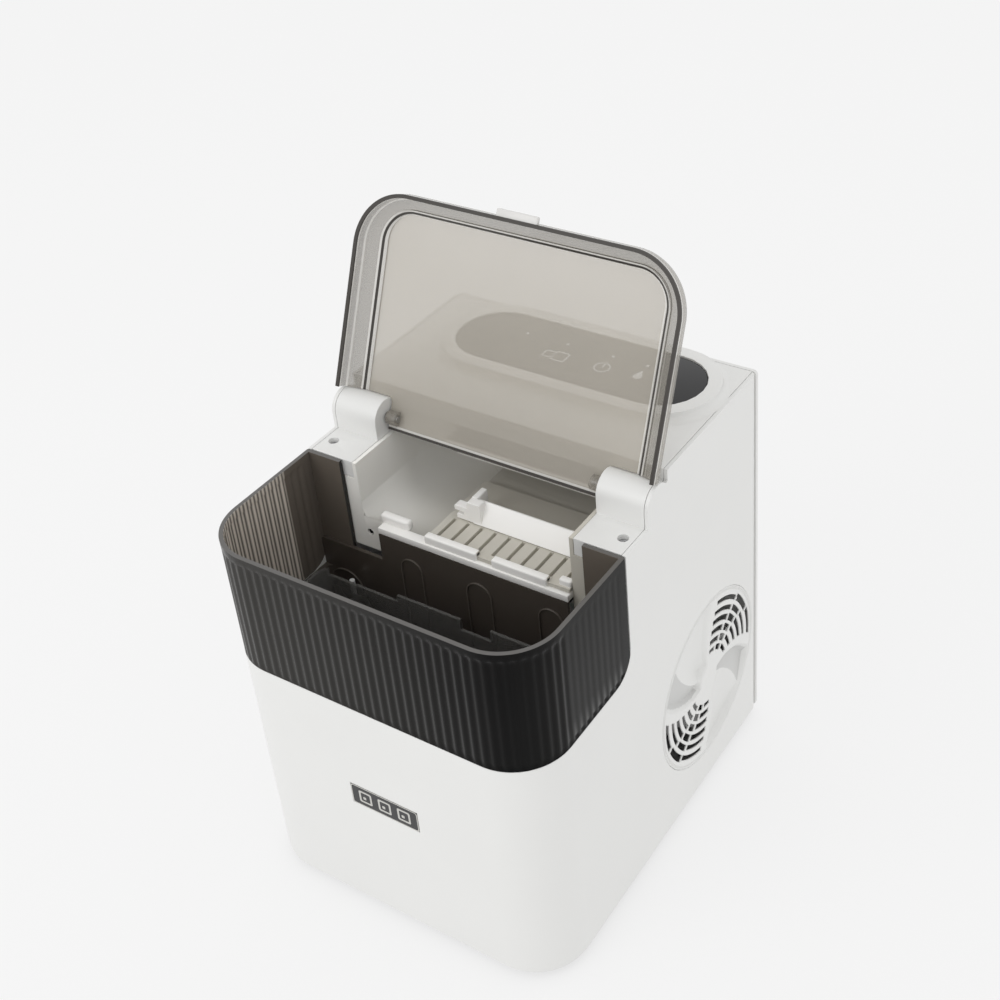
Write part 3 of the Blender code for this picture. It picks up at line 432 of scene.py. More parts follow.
def block(low, high, radius=0.0, segments=3, into=None):
    """Box with rounded edges."""
    bm = bmesh.new()
    bmesh.ops.create_cube(bm, size=1)
    bmesh.ops.scale(bm, vec=Vector(high) - Vector(low), verts=bm.verts)
    bmesh.ops.translate(bm, vec=(Vector(low) + Vector(high)) / 2, verts=bm.verts)
    if radius:
        bmesh.ops.bevel(bm, geom=bm.edges[:], offset=radius, segments=segments, profile=0.5,
                        affect="EDGES", material=-1)
    return joined(into, bm)


# Turns a shape made round Z to lie round an axis
TURNED = {
    "X": Matrix.Rotation(math.pi / 2, 4, "Y"),
    "Y": Matrix.Rotation(-math.pi / 2, 4, "X"),
    "Z": Matrix.Identity(4),
}


def turned(profile, place, axis="Z", closed=False, steps=40, into=None):
    """Turned shape from (radius, height) pairs."""
    bm = bmesh.new()
    edges = chain(bm, [(radius, 0, height) for radius, height in profile], closed)
    geom = list({vert for edge in edges for vert in edge.verts}) + edges
    bmesh.ops.spin(
        bm, geom=geom, cent=(0, 0, 0), axis=(0, 0, 1), angle=2 * math.pi, steps=steps, use_merge=True
    )
    bmesh.ops.remove_doubles(bm, verts=bm.verts, dist=MERGE)
    bmesh.ops.transform(bm, matrix=Matrix.Translation(place) @ TURNED[axis], verts=bm.verts)
    bmesh.ops.recalc_face_normals(bm, faces=bm.faces)
    return joined(into, bm)


def stadium(profile, half_length, centre, closed=False, steps=28):
    """Carries a profile of (distance, height) pairs round a pill-shaped path."""
    bm = bmesh.new()
    edges = chain(bm, [(half_length, -distance, height) for distance, height in profile], closed)
    geom = list({vert for edge in edges for vert in edge.verts}) + edges
    spun = bmesh.ops.spin(
        bm, geom=geom, cent=(half_length, 0, 0), axis=(0, 0, 1), angle=math.pi, steps=steps
    )
    last = [item for item in spun["geom_last"] if isinstance(item, bmesh.types.BMEdge)]
    for end in (edges, last):
        extruded = bmesh.ops.extrude_edge_only(bm, edges=end)
        verts = [item for item in extruded["geom"] if isinstance(item, bmesh.types.BMVert)]
        bmesh.ops.translate(bm, verts=verts, vec=(-half_length, 0, 0))
    bmesh.ops.mirror(bm, geom=bm.verts[:] + bm.edges[:] + bm.faces[:], axis="X", merge_dist=MERGE)
    bmesh.ops.remove_doubles(bm, verts=bm.verts, dist=MERGE)
    bmesh.ops.translate(bm, verts=bm.verts, vec=(centre.x, centre.y, 0))
    bmesh.ops.recalc_face_normals(bm, faces=bm.faces)
    return bm


def piece(name, bm, finish, node, hides=True, wall=0.0, bevel=0.0, segments=3, angle=35, more=()):
    """Makes a finished piece that rides with a node's body and, as a rule, stands for that node."""
    mesh = bpy.data.meshes.new(name)
    bm.to_mesh(mesh)
    bm.free()
    mesh.materials.append(FINISHES[finish])
    for extra in more:
        mesh.materials.append(FINISHES[extra])
    mesh.shade_smooth()
    mesh.set_sharp_from_angle(angle=math.radians(angle))
    obj = bpy.data.objects.new(name, mesh)
    bpy.context.scene.collection.objects.link(obj)
    if wall:
        skin = obj.modifiers.new("wall", "SOLIDIFY")
        skin.thickness = wall
        skin.offset = -1
        skin.use_even_offset = True
    if bevel:
        edge = obj.modifiers.new("edges", "BEVEL")
        edge.width = bevel
        edge.segments = segments
        edge.limit_method = "ANGLE"
        edge.angle_limit = math.radians(angle)
        edge.harden_normals = True
    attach(obj, BODY_OF[node])
    if hides:
        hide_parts(node)
    return obj


def refined(node, bevel, finish=None, angle=32, segments=2):
    """Stands for a node with its own shape, its edges broken and its round faces smooth."""
    bm = bmesh.new()
    bm.from_mesh(frame["nodes"][node].data)
    bmesh.ops.remove_doubles(bm, verts=bm.verts, dist=MERGE)
    bmesh.ops.dissolve_limit(bm, angle_limit=NEARLY_FLAT, verts=bm.verts, edges=bm.edges)
    return piece(
        f"{node}_body", bm, finish or SLOT_OF[node], node, bevel=bevel, segments=segments, angle=angle
    )


def set_camera():
    """Camera above the front right corner, looking down at the object."""
    azimuth = math.radians(33.31)
    elevation = math.radians(31.72)
    roll = math.radians(3.75)
    distance = 0.985225
    target = Vector((0.00378, 0.11411, 0.28512))
    back = Vector((
        math.sin(azimuth) * math.cos(elevation),
        -math.cos(azimuth) * math.cos(elevation),
        math.sin(elevation),
    ))
    right = Vector((math.cos(azimuth), math.sin(azimuth), 0))
    up = back.cross(right)
    camera = bpy.data.cameras.new("camera")
    camera.sensor_width = 36
    camera.lens = 54.52
    camera.shift_x = -0.0894
    camera.shift_y = -0.1474
    camera.clip_start = 0.01
    holder = bpy.data.objects.new("camera", camera)
    bpy.context.scene.collection.objects.link(holder)
    side = math.cos(roll) * right - math.sin(roll) * up
    top = math.sin(roll) * right + math.cos(roll) * up
    turn = Matrix((side, top, back)).transposed().to_4x4()
    holder.matrix_world = Matrix.Translation(target + distance * back) @ turn
    bpy.context.scene.camera = holder


def set_studio():
    """Pale floor, even surround and large soft lamps."""
    bm = bmesh.new()
    bmesh.ops.create_grid(bm, x_segments=1, y_segments=1, size=6)
    mesh = bpy.data.meshes.new("floor")
    bm.to_mesh(mesh)
    bm.free()
    floor = bpy.data.objects.new("floor", mesh)
    bpy.context.scene.collection.objects.link(floor)
    backdrop = 0.915
    shadow_share = 0.25
    cover = Finish("floor_paint")
    tone = cover.mix(cover.noise(3), (backdrop, backdrop, backdrop), (0.92, 0.92, 0.92))
    glow = cover.node("ShaderNodeEmission", {}, {"Color": tone, "Strength": 1.0})
    matt = cover.node("ShaderNodeBsdfDiffuse", {}, {"Color": tone})
    mixed = cover.node("ShaderNodeMixShader", {}, {0: shadow_share, 1: glow.outputs[0], 2: matt.outputs[0]})
    cover.feed(cover.tree.nodes["Material Output"].inputs["Surface"], mixed.outputs[0])
    mesh.materials.append(cover.material)
    world = bpy.data.worlds.new("surround")
    world.use_nodes = True
    surround = world.node_tree.nodes["Background"]
    surround.inputs["Color"].default_value = (backdrop, backdrop, backdrop, 1)
    surround.inputs["Strength"].default_value = 1.0
    bpy.context.scene.world = world
    lamps = (
        ("front_lamp", (-0.7, -1.6, 1.3), 1.2, 6.5),
        ("top_lamp", (0.2, 0.3, 2.2), 1.4, 1.2),
    )
    aim = Vector((0, 0, 0.2))
    for name, place, size, power in lamps:
        lamp = bpy.data.lights.new(name, "AREA")
        lamp.size = size
        lamp.energy = power
        holder = bpy.data.objects.new(name, lamp)
        holder.location = place
        beam = aim - Vector(place)
        holder.rotation_euler = beam.to_track_quat("-Z", "Y").to_euler()
        bpy.context.scene.collection.objects.link(holder)
    bpy.context.scene.view_settings.view_transform = "Standard"


def closed_to_open(bm):
    """Swings the lid from closed to open about its hinge."""
    swing = Matrix.Translation(HINGE) @ Matrix.Rotation(-abs(LID_OPEN), 4, "X") @ Matrix.Translation(-HINGE)
    bmesh.ops.transform(bm, matrix=swing, verts=bm.verts)


def lid():
    """Shallow lid: a skirt, a sloping shoulder, a step and a flat plate, with painted dark lines and
    painted highlight lines along its edges and step.
    """
    rim_z = 0.2643
    end_y = -0.0063
    middle_x = 0.0790
    corner = 0.004
    # Painted light: line strips are painted dark edge lines, light strips are painted highlight lines, and
    # band is the shaded copy of the smoke
    band, line, light = 1, 2, 3
    # Each: inset, height and the finish from there to the next
    profile = (
        (0.0000, 0.0000, line), (0.0000, 0.0011, light), (0.0000, 0.0022, band), (0.0000, 0.0068, band),
        (0.0005, 0.0080, band), (0.0018, 0.0088, light), (0.0032, 0.0094, band), (0.0116, 0.0125, light),
        (0.0127, 0.0130, line), (0.0138, 0.0135, light), (0.0149, 0.0149, line), (0.0161, 0.0150, light),
        (0.0170, 0.0150, band),
    )
    front_share = 0.76

    def row(offset, height):
        half = HALF - offset
        front = FRONT_Y + offset * front_share
        radius = FRONT_RADIUS - offset
        corners = [
            ((half, end_y), 0), ((half, front), radius), ((-half, front), radius), ((-half, end_y), 0),
        ]
        return [(*place, rim_z + height) for place in rounded_path(corners, closed=False, steps=20)]

    bm = bmesh.new()
    loops, strips = loft(bm, [row(offset, height) for offset, height, _ in profile])
    for strip, (_, _, index) in zip(strips, profile):
        for face in strip:
            face.material_index = index
    top = [loops[-1][0].verts[0]] + [edge.verts[1] for edge in loops[-1]]
    top_z = rim_z + profile[-1][1]
    ends = (0.0112, 0.0126, 0.0143)
    turn_start = -middle_x - 0.012
    turn = [((turn_start, end_y), 0), ((-middle_x, end_y), corner), ((-middle_x, ends[0]), 0)]
    path = rounded_path(turn, closed=False, steps=6)[1:]
    left = [bm.verts.new((x, y, top_z)) for x, y in path]
    right = [bm.verts.new((-x, y, top_z)) for x, y in reversed(path)]
    plate = bm.faces.new(top + left + right)
    near = (left[-1], right[0])
    # Painted highlight line and painted dark line along the plate's hinge end
    for y, index in zip(ends[1:], (light, line)):
        far = [bm.verts.new((x, y, top_z)) for x in (-middle_x, middle_x)]
        bm.faces.new((near[0], far[0], far[1], near[1])).material_index = index
        near = far
    bmesh.ops.recalc_face_normals(bm, faces=bm.faces)
    if plate.normal.z < 0:
        bmesh.ops.reverse_faces(bm, faces=bm.faces)
    closed_to_open(bm)
    more = ("smoky_lid_painted_shade", "lid_painted_dark_line", "lid_painted_highlight_line")
    piece("lid_moulding", bm, "smoky_lid", "lid_shell", wall=0.0024, bevel=0.0004, segments=2,
          angle=28, more=more)
    tab_half = 0.0145
    tab_low = (-tab_half, FRONT_Y - 0.0045, rim_z + 0.0004)
    tab_high = (tab_half, FRONT_Y + 0.002, rim_z + 0.0031)
    tab = block(tab_low, tab_high, 0.0008)
    closed_to_open(tab)
    piece("lid_finger_tab", tab, "lid_tab", "lid_shell", hides=False)
    knuckle_in, knuckle_out = 0.0710, 0.0785
    length, knuckle_radius, bore_radius = 0.0075, 0.0047, 0.0025
    for side, name in ((-1, "left"), (1, "right")):
        start = min(side * knuckle_in, side * knuckle_out)
        ring = [(knuckle_radius, length), (knuckle_radius, 0), (bore_radius, 0), (bore_radius, length)]
        knuckle = turned(ring, (start, HINGE.y, HINGE.z), "X", closed=True)
        # Knuckles in the darker copy of the smoke, painted shade
        piece(f"lid_knuckle_{name}", knuckle, "smoky_lid_painted_shade", "lid_shell", hides=False, bevel=0.0003)


def bin_window():
    """Window round the front of the bin: fluted inside all round, fluted outside only at the front."""
    wall = 0.0028
    rear = WINDOW_HIGH.y
    wing = 0.088
    pitch = FLUTE_PITCH
    depth = 0.0008
    corner = 0.018
    rear_radius = 0.0012
    fades_in, fades_out = 0.03, 0.945
    path = rounded_path([
        ((wing, rear), 0), ((HALF, rear), rear_radius), ((HALF, FRONT_Y), FRONT_RADIUS),
        ((-HALF, FRONT_Y), FRONT_RADIUS), ((-HALF, rear), rear_radius), ((-wing, rear), 0),
    ], closed=False, steps=48)
    fine = [path[0]]
    for start, end in zip(path, path[1:]):
        pieces = max(1, round((end - start).length * 8 / pitch))
        fine += [start.lerp(end, (k + 1) / pieces) for k in range(pieces)]
    run = [0.0]
    for start, end in zip(fine, fine[1:]):
        run.append(run[-1] + (end - start).length)
    half_run = run[-1] / 2
    outward = []
    for k in range(len(fine)):
        along = (fine[min(k + 1, len(fine) - 1)] - fine[max(k - 1, 0)]).normalized()
        outward.append(Vector((along.y, -along.x)))
    if outward[len(fine) // 2].y > 0:
        outward = [-normal for normal in outward]

    def level_z(y, level):
        reach = max(0.0, y - (rear - corner))
        low_z = WINDOW_LOW.z + corner - math.sqrt(max(0.0, corner ** 2 - reach ** 2))
        return low_z + (WINDOW_HIGH.z - low_z) * level

    def row(level, inside):
        places = []
        for place, normal, length in zip(fine, outward, run):
            fade = min(1.0, level / fades_in, max(0.0, (fades_out - level) / 0.02))
            from_rear = min(length, 2 * half_run - length) - (HALF - wing)
            fade *= min(1.0, max(0.0, (from_rear - 0.006) / 0.004))
            if not inside:
                ticks = 1.0 if 0.012 < level < 0.05 else 0.12
                fade *= min(1.0, max(ticks, (FRONT_Y + FRONT_RADIUS + 0.004 - place.y) / 0.006))
            wave = 0.5 - 0.5 * math.cos(2 * math.pi * (length - half_run) / pitch)
            moved = place - normal * (depth * wave * fade)
            if inside:
                moved = place - normal * (wall - depth * (1 - wave) * fade * 0.8)
                moved.x = max(wall - HALF, min(HALF - wall, moved.x)) if fade == 0 else moved.x
                moved.y = min(moved.y, rear - wall)
            places.append((moved.x, moved.y, level_z(place.y, level)))
        return places

    levels = (
        0.0, 0.010, 0.020, 0.035, 0.055, 0.2, 0.4, 0.6, 0.8, 0.90, 0.925, 0.937, fades_out, 0.97, 1.0,
    )
    rows = [row(level, False) for level in levels] + [row(level, True) for level in reversed(levels)]
    bm = bmesh.new()
    _, strips = loft(bm, rows + rows[:1])
    for strip in strips[len(levels):-1]:
        for face in strip:
            face.material_index = 1
    for face in strips[len(levels) - 1]:
        face.material_index = 2
    bmesh.ops.remove_doubles(bm, verts=bm.verts, dist=MERGE)
    bmesh.ops.holes_fill(bm, edges=[edge for edge in bm.edges if edge.is_boundary])
    bmesh.ops.recalc_face_normals(bm, faces=bm.faces)
    more = ("smoky_window_inside", "window_rim")
    piece("fluted_window", bm, "smoky_window", "bin_window", bevel=0.0007, angle=60, more=more)


def arch(centre, half, top, inset):
    """Open outline of an arch of half width half, drawn in by inset."""
    foot_z = 0.1260
    steps = 16
    radius = half - inset
    turns = [math.pi * k / steps for k in range(steps + 1)]
    arc = [(centre + radius * math.cos(a), top - half + radius * math.sin(a)) for a in turns]
    return [(centre + radius, foot_z)] + arc + [(centre - radius, foot_z)]


def tub():
    """Tub behind and below the window, with arch-topped channels outlined on its back wall in a lighter
    colour, a painted highlight along their edges.
    """
    refined("reservoir_tub", 0.0004)
    wall_y = TUB_HIGH.y - 0.0025
    rib = 0.0011
    arches = (
        (-0.0955, 0.0140, 0.1780), (-0.0385, 0.0085, 0.2075),
        (0.0125, 0.0095, 0.2085), (0.0645, 0.0090, 0.2095),
    )
    for k, (centre, half, top) in enumerate(arches):
        outline = arch(centre, half, top, 0) + list(reversed(arch(centre, half, top, rib)))
        bm = panel([outline], wall_y - 0.0010, wall_y + 0.0003, "Y")
        piece(f"tub_arch_{k + 1}", bm, "tub_arch_highlight", "reservoir_tub", hides=False, bevel=0.0004)


def liner():
    """White chamber whose left part is a rounded scoop, with a bar, a ledge and a block at its front."""
    floor_low = FLOOR_TOP - 0.0020
    floor_depth = 0.0032
    left_x = -0.0776
    front = POST_Y + 0.0004
    smallest = 1e-5
    bm = bmesh.new()
    bm.from_mesh(frame["nodes"]["chamber_liner"].data)
    bmesh.ops.remove_doubles(bm, verts=bm.verts, dist=MERGE)
    everything = bm.verts[:] + bm.edges[:] + bm.faces[:]
    bmesh.ops.bisect_plane(bm, geom=everything, plane_co=(GRID_LOW.x, 0, 0), plane_no=(1, 0, 0), dist=MERGE)
    bm.normal_update()
    doomed = []
    for face in bm.faces:
        middle = face.calc_center_median()
        flat = abs(face.normal.z) > 0.99 and FLOOR_TOP - floor_depth < middle.z < FLOOR_TOP + 0.0002
        inside = left_x < middle.x < GRID_LOW.x and middle.y > front
        if flat and inside and face.calc_area() > smallest:
            doomed.append(face)
    bmesh.ops.delete(bm, geom=doomed, context="FACES")
    bmesh.ops.dissolve_limit(bm, angle_limit=NEARLY_FLAT, verts=bm.verts, edges=bm.edges)
    piece("chamber_liner_body", bm, "chamber_plastic", "chamber_liner", bevel=0.0005, segments=2, angle=32)
    inner = 0.0779
    rear = 0.0759
    scoop_end = -0.0180
    scoop_radius = 0.058
    # Each: inset from the chamber's wall and height
    scoop_profile = (
        (0, 0.2636), (0, 0.2380), (0.0010, 0.2290), (0.0040, 0.2210),
        (0.0090, 0.2150), (0.0160, 0.2110), (0.0250, 0.2090), (0.0360, 0.2082),
    )
    rows = []
    for inset, height in scoop_profile:
        corners = [
            ((inset - inner, front), 0),
            ((inset - inner, rear - inset), scoop_radius - inset),
            ((scoop_end, rear - inset), 0),
        ]
        rows.append([(x, y, height) for x, y in rounded_path(corners, closed=False, steps=16)])
    scoop = bmesh.new()
    loops, _ = loft(scoop, rows)
    ends = [edge.verts for edge in loops[-1]]
    corner_vert = scoop.verts.new((scoop_end, front, scoop_profile[-1][1]))
    bottom = [ends[0][0]] + [pair[1] for pair in ends]
    scoop.faces.new(bottom + [corner_vert])
    bmesh.ops.recalc_face_normals(scoop, faces=scoop.faces)
    upward = sum(face.normal.z * face.calc_area() for face in scoop.faces)
    if upward < 0:
        bmesh.ops.reverse_faces(scoop, faces=scoop.faces)
    piece("liner_scoop", scoop, "chamber_plastic", "chamber_liner", hides=False, wall=0.0018, angle=50)
    edge = block((GRID_LOW.x - GAP, POST_Y, floor_low), (GRID_LOW.x + 0.0010, rear, FLOOR_TOP - 0.0001))
    piece("liner_floor_edge", edge, "chamber_plastic", "chamber_liner", hides=False, bevel=0.0002)
    bar_low = (-0.0620, TUB_HIGH.y - 0.0025, TUB_HIGH.z + GAP)
    bar_high = (0.0775, POST_Y + 0.0010, FLOOR_TOP)
    bar = block(bar_low, bar_high, 0.0006, 2)
    piece("liner_front_bar", bar, "chamber_lip", "chamber_liner", hides=False)
    ledge = block((-0.0640, -0.0320, 0.2228), (-0.0420, -0.0262, 0.2300), 0.0020, 4)
    piece("liner_ledge", ledge, "chamber_lip", "chamber_liner", hides=False)
    stop = block((0.0690, -0.0335, 0.2232), (0.0772, -0.0290, 0.2310), 0.0010, 3)
    piece("liner_corner_block", stop, "chamber_lip", "chamber_liner", hides=False)


def tray():
    """Half-round trough with a pale strip along its rim and along the turn of its front, each a painted
    highlight.
    """
    refined("water_tray", 0.0004)
    low_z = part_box("water_tray")[0][2]
    axis = Vector(JOINTS["tray_tilt"]["pos_m"])
    radius = axis.z - low_z
    left_x, right_x = -0.0445, 0.0695
    half = 0.0008
    # Pale strips put where highlights fall on the trough: painted highlights
    for name, turn in (("rim", 4), ("front", 62)):
        a = math.radians(turn)
        y = axis.y - radius * math.cos(a)
        z = axis.z - radius * math.sin(a)
        line = block((left_x, y - half, z - half), (right_x, y + 0.0007, z + half), 0.0004, 2)
        piece(f"tray_highlight_{name}", line, "chamber_lip", "water_tray", hides=False)


def ice_grid():
    """Slotted grid with two deep aprons at its front edge."""
    refined("ice_grid", 0.0003, "chamber_plastic")
    apron_foot = 0.2196
    for name, low_x, high_x in (("left", -0.0265, 0.0120), ("right", 0.0230, 0.0620)):
        low = (low_x, GRID_LOW.y - 0.0016, apron_foot)
        high = (high_x, GRID_LOW.y + 0.0036, GRID_HIGH.z + 0.0002)
        piece(f"grid_apron_{name}", block(low, high, 0.0010, 3), "chamber_lip", "ice_grid", hides=False)


def ice_shovel():
    """Inclined blade with a rolled top edge and a hooked lever at its left end."""
    slot_depth = 0.0025
    clearance = 0.0006
    foot = GRID_HIGH.z - slot_depth + clearance
    blade = [
        (-0.0105, foot), (-0.0080, foot), (-0.0010, 0.2396), (-0.0012, 0.2404), (-0.0024, 0.2408),
        (-0.0034, 0.2400),
    ]
    bm = panel([blade], -0.0080, 0.0755, "X")
    hook = rounded_path([
        ((-0.0020, foot), 0), ((-0.0020, 0.2423), 0.0015),
        ((-0.0120, 0.2423), 0.0012), ((-0.0120, 0.2372), 0.0008),
        ((-0.0218, 0.2372), 0.0012), ((-0.0218, 0.2335), 0.0012),
        ((-0.0150, 0.2335), 0.0008), ((-0.0150, 0.2312), 0.0008),
        ((-0.0205, 0.2312), 0.0010), ((-0.0205, foot), 0),
    ], steps=4)
    panel([hook], -0.0100, -0.0040, "Y", into=bm)
    panel([rectangle((-0.0122, 0.2330), (-0.0078, 0.2424), 0.001)], -0.0040, 0.0070, "Y", into=bm)
    piece("shovel_moulding", bm, "chamber_lip", "ice_shovel", bevel=0.0004)


def control_lens():
    """Glossy pill with a raised edge line and plain generic symbols."""
    centre = (LENS_LOW + LENS_HIGH) / 2
    radius = (LENS_HIGH.y - LENS_LOW.y) / 2
    half_length = LENS_HIGH.x - centre.x - radius
    edge = 0.0010
    profile = [(0, LENS_HIGH.z), (radius - edge, LENS_HIGH.z)]
    for k in range(1, 5):
        a = math.pi / 2 * k / 4
        profile.append((radius - edge + edge * math.sin(a), LENS_HIGH.z - edge + edge * math.cos(a)))
    profile += [(radius, LENS_LOW.z), (0, LENS_LOW.z)]
    bm = stadium(profile, half_length, centre)
    piece("lens_moulding", bm, "black_gloss", "control_lens")
    symbols(centre)


def symbols(centre):
    """Thin printed symbols: two cubes, a drop, a ring and small lamps."""
    low = LENS_HIGH.z + 0.00002
    high = LENS_HIGH.z + 0.00018
    line = 0.0009
    ring_centre = (0.0200, -0.0040)
    ring_radius = 0.0055
    drop_x, drop_y, drop_radius = 0.0450, -0.0030, 0.0030
    lamp_y, lamp_radius = 0.0100, 0.0011

    def square(x, y, half):
        outer = rectangle((x - half, y - half), (x + half, y + half), half * 0.3)
        inside = half - line
        return [outer, rectangle((x - inside, y - inside), (x + inside, y + inside), inside * 0.25)]

    bm = panel(square(-0.0190, -0.0050, 0.0038), low, high)
    panel(square(-0.0105, -0.0050, 0.0052), low, high, into=bm)
    panel([circle(ring_centre, ring_radius), circle(ring_centre, ring_radius - line)], low, high, into=bm)
    panel([rectangle((0.0195, -0.0040), (0.0205, 0.0030))], low, high, into=bm)
    turns = [math.radians(140 + 260 * k / 14) for k in range(15)]
    drop = [(drop_x + drop_radius * math.cos(a), drop_y + drop_radius * math.sin(a)) for a in turns]
    panel([drop + [(drop_x, 0.0040)]], low, high, into=bm)
    for x in (-0.0450, -0.0140, 0.0200, 0.0450):
        panel([circle((x, lamp_y), lamp_radius, 16)], low, high, into=bm)
    bmesh.ops.translate(bm, verts=bm.verts, vec=(centre.x, centre.y, 0))
    piece("panel_symbols", bm, "pale_print", "control_lens", hides=False)


def deck():
    """Deck with a collar that rises round the lens in one soft curve."""
    refined("top_deck", 0.0006)
    centre = (LENS_LOW + LENS_HIGH) / 2
    lens_radius = (LENS_HIGH.y - LENS_LOW.y) / 2
    half_length = LENS_HIGH.x - centre.x - lens_radius
    inner = lens_radius + GAP
    outer = lens_radius + 0.0095
    top = 0.2970
    fillet = 0.0048
    crown = 0.0016
    lift = 0.00005
    chamfer = 0.0006
    profile = [(inner, LENS_LOW.z), (inner, top - chamfer), (inner + chamfer, top + lift)]
    for k in range(7):
        a = math.pi / 2 * k / 6
        profile.append((outer - crown + crown * math.sin(a), top - crown + crown * math.cos(a) + lift))
    for k in range(9):
        a = math.pi / 2 * k / 8
        height = DECK_Z + fillet - fillet * math.sin(a) + lift
        profile.append((outer + fillet - fillet * math.cos(a), height))
    profile += [(outer + fillet, DECK_Z - chamfer), (inner, DECK_Z - chamfer)]
    bm = stadium(profile, half_length, centre, closed=True)
    piece("island_collar", bm, "white_plastic", "top_deck", hides=False)


def grille():
    """Round side grille: two petals with a column of holes and arc slots, and two dished plain ones, the
    far part of each painted darker as painted shade.
    """
    centre = (GRILLE_LOW + GRILLE_HIGH) / 2
    radius = GRILLE_HIGH.z - centre.z
    face_x = GRILLE_HIGH.x
    rings = round(radius / 0.0007)
    profile = [(radius * k / rings, 0) for k in range(rings + 1)]
    bm = turned(profile, (face_x, centre.y, centre.z), "X", steps=360)
    # Each: distance from the centre, middle in degrees and half width in degrees
    holes = (
        (0.0555, 31, 11.5), (0.0483, 36, 9), (0.0416, 39, 8),
        (0.0348, 43, 8), (0.0278, 47, 8.5), (0.0210, 53, 9.5),
    )
    outer_ring = holes[0][0]
    hole_half = 0.0024
    arc_half = 0.0019
    rib = 0.0016
    left_lean = 350
    right_lean = 600
    dish = 0.0046
    first_turn = -30

    def polar(point):
        y = point.y - centre.y
        z = point.z - centre.z
        return math.hypot(y, z), (math.degrees(math.atan2(z, y)) - first_turn) % 180 + first_turn

    def open_at(distance, turn):
        """Whether a place lies in a hole or in one of the arc slots at its two sides."""
        for place, middle, half in holes:
            gap = math.degrees(rib / place)
            if abs(distance - place) < hole_half and abs(turn - middle) < half:
                return True
            left_end = 76 + (outer_ring - place) * left_lean
            if abs(distance - place + 0.0004) < arc_half and middle + half + gap < turn < left_end:
                return True
            right_end = 27.5 - right_lean * distance
            if abs(distance - place - 0.0012) < arc_half and right_end < turn < middle - half - gap:
                return True
        return False

    def share_of(distance, turn):
        """How far round a plain petal a place is, 0 to 1, or less than 0 outside both petals."""
        first = 84 + (outer_ring - distance) * left_lean
        last = 180 + 22 - right_lean * max(distance, 0.020)
        around = turn + 180 if turn < last - 182 else turn
        return (around - first) / (last - 4 - first)

    doomed = [face for face in bm.faces if open_at(*polar(face.calc_center_median()))]
    for vert in bm.verts:
        distance, turn = polar(vert.co)
        share = share_of(distance, turn)
        sunk = 0.0
        if 0 < share < 1:
            swell = 0.3 + 0.7 * abs(math.sin(1.5 * math.pi * share))
            sunk = dish * swell * min(1.0, share * 14, (1 - share) * 14)
        from_rim = max(0.0, (radius - 0.0032 - distance) / 0.0012)
        from_hub = max(0.0, (distance - 0.011) / 0.002)
        sunk *= min(1.0, from_rim, from_hub)
        groove = 0.0009 if radius - 0.0024 < distance < radius - 0.0008 else 0.0
        vert.co.x -= max(0.0, sunk) + groove
    bmesh.ops.delete(bm, geom=doomed, context="FACES")
    # Painted shade: the far part of each dished petal takes a darker copy of the white
    for face in bm.faces:
        distance, turn = polar(face.calc_center_median())
        facet = 0.67 < share_of(distance, turn) < 0.97 and 0.014 < distance < radius - 0.0040
        face.material_index = 1 if facet else 0
    bmesh.ops.recalc_face_normals(bm, faces=bm.faces)
    if sum(face.normal.x for face in bm.faces) < 0:
        bmesh.ops.reverse_faces(bm, faces=bm.faces)
    more = ("facet_painted_shade",)
    piece("grille_moulding", bm, "white_plastic", "fan_grille", wall=0.0012, angle=40, more=more)


def badge():
    """Plain dark plate with three pale cube outlines and a bright rim."""
    low = (BADGE_LOW.x, BADGE_LOW.z)
    high = (BADGE_HIGH.x, BADGE_HIGH.z)
    face_y = BADGE_LOW.y
    bm = panel([rectangle(low, high, 0.002)], face_y + 0.0001, BADGE_HIGH.y, "Y")
    piece("badge_plate", bm, "black_gloss", "front_badge", bevel=0.0002)
    rim = 0.0007
    inner = rectangle((low[0] + rim, low[1] + rim), (high[0] - rim, high[1] - rim), 0.0014)
    raised_y = face_y - 0.00005
    sunk_y = face_y + 0.0004
    bm = panel([rectangle(low, high, 0.002), inner], raised_y, sunk_y, "Y")
    middle_z = (low[1] + high[1]) / 2

    def square(x, half, round_by):
        return rectangle((x - half, middle_z - half), (x + half, middle_z + half), round_by)

    for x in (-0.0145, 0.0, 0.0145):
        panel([square(x, 0.0048, 0.0012), square(x, 0.0034, 0.0008)], raised_y, sunk_y, "Y", into=bm)
        dot = rectangle((x - 0.0018, middle_z - 0.0018), (x + 0.0004, middle_z + 0.0004), 0.0004)
        panel([dot], raised_y, sunk_y, "Y", into=bm)
    piece("badge_rim", bm, "nickel_plate", "front_badge", hides=False)


def cross_screw(name, node, place, axis, head, height, shank, length):
    """Screw with a flat head and a cross recess, its head's underside at a place."""
    arm = head * 0.62
    half = head * 0.15
    cross = []
    for k in range(4):
        a = math.pi / 2 * k
        for u, v in ((half, -half), (arm, -half), (arm, half)):
            cross.append((u * math.cos(a) - v * math.sin(a), u * math.sin(a) + v * math.cos(a)))
    steps = 28
    bm = panel([circle((0, 0), head, steps), cross], height * 0.35, height)
    under = height * 0.36
    profile = [(0, under), (head, under), (head, 0), (shank, 0), (shank, -length), (0, -length)]
    turned(profile, (0, 0, 0), steps=steps, into=bm)
    bmesh.ops.transform(bm, matrix=Matrix.Translation(place) @ TURNED[axis], verts=bm.verts)
    piece(name, bm, "steel", node, bevel=0.0002)


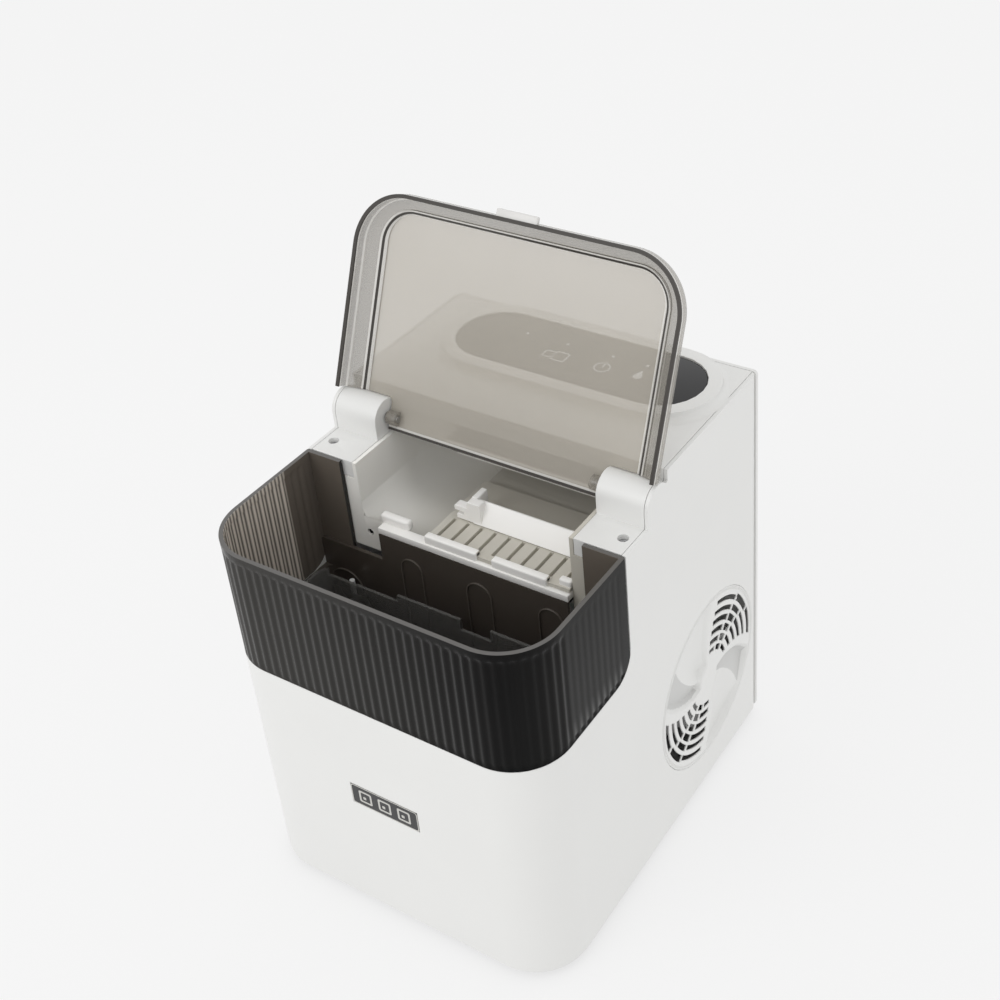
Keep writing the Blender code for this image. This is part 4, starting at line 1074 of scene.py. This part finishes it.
def screws():
    """The two screws in the deck's platforms."""
    head, height, shank, length = 0.0030, 0.0025, 0.0015, 0.009
    for side in ("left", "right"):
        low, high = (Vector(corner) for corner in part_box(f"deck_screw_{side}"))
        middle = (low + high) / 2
        place = (middle.x, middle.y, high.z - height)
        name = f"platform_screw_{side}"
        cross_screw(name, f"deck_screw_{side}", place, "Z", head, height, shank, length)


def foot(corner):
    """Turned rubber foot with a shallow ring in its tread."""
    low, high = (Vector(place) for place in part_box(f"foot_{corner}"))
    middle = (low + high) / 2
    radius = (high.x - low.x) / 2
    top = high.z - low.z
    ring_depth = 0.0006
    profile = [
        (0, top), (radius, top), (radius, 0.0015), (radius - 0.0004, ring_depth), (radius - 0.0015, 0),
        (radius - 0.0035, 0), (radius - 0.0040, ring_depth), (radius - 0.0055, ring_depth),
        (radius - 0.0060, 0), (0, 0),
    ]
    bm = turned(profile, (middle.x, middle.y, low.z))
    piece(f"foot_{corner}_moulding", bm, "rubber", f"foot_{corner}")


# Nodes shown with their own shape, each with the width of its broken edges
REFINED = {
    "outer_shell": 0.0006, "rear_cover": 0.0004, "base_pan": 0.0004, "ice_basket": 0.0005,
    "tray_motor": 0.0008, "evaporator": 0.0004, "compressor": 0, "compressor_mount_1": 0,
    "compressor_mount_2": 0, "compressor_mount_3": 0, "start_relay": 0.0015, "condenser": 0,
    "discharge_tube": 0, "suction_tube": 0, "liquid_tube": 0, "filter_drier": 0,
    "hot_gas_valve": 0.0015, "fan_bracket": 0.0004, "fan_motor": 0.0008, "fan_shaft": 0.0003,
    "fan_blade": 0.0003, "pump_body": 0.0006, "pump_cover": 0.0004, "pump_impeller": 0.0004,
    "supply_hose": 0, "drain_tube": 0, "drain_port": 0.0004, "drain_plug": 0.0006,
    "cord_gland": 0.0004, "float_guide": 0.0003, "level_float": 0.0008, "ice_sensor_left": 0,
    "ice_sensor_right": 0, "control_board": 0.0001, "display_board": 0.0001,
    "hinge_pin_left": 0.0003, "hinge_pin_right": 0.0003, "rear_screw_lower_left": 0.0002,
    "rear_screw_lower_right": 0.0002, "rear_screw_upper_left": 0.0002,
    "rear_screw_upper_right": 0.0002,
}

set_camera()
set_studio()
for node, bevel in REFINED.items():
    refined(node, bevel)
for corner in ("front_left", "front_right", "rear_left", "rear_right"):
    foot(corner)
lid()
bin_window()
tub()
liner()
tray()
ice_grid()
ice_shovel()
control_lens()
deck()
grille()
badge()
screws()
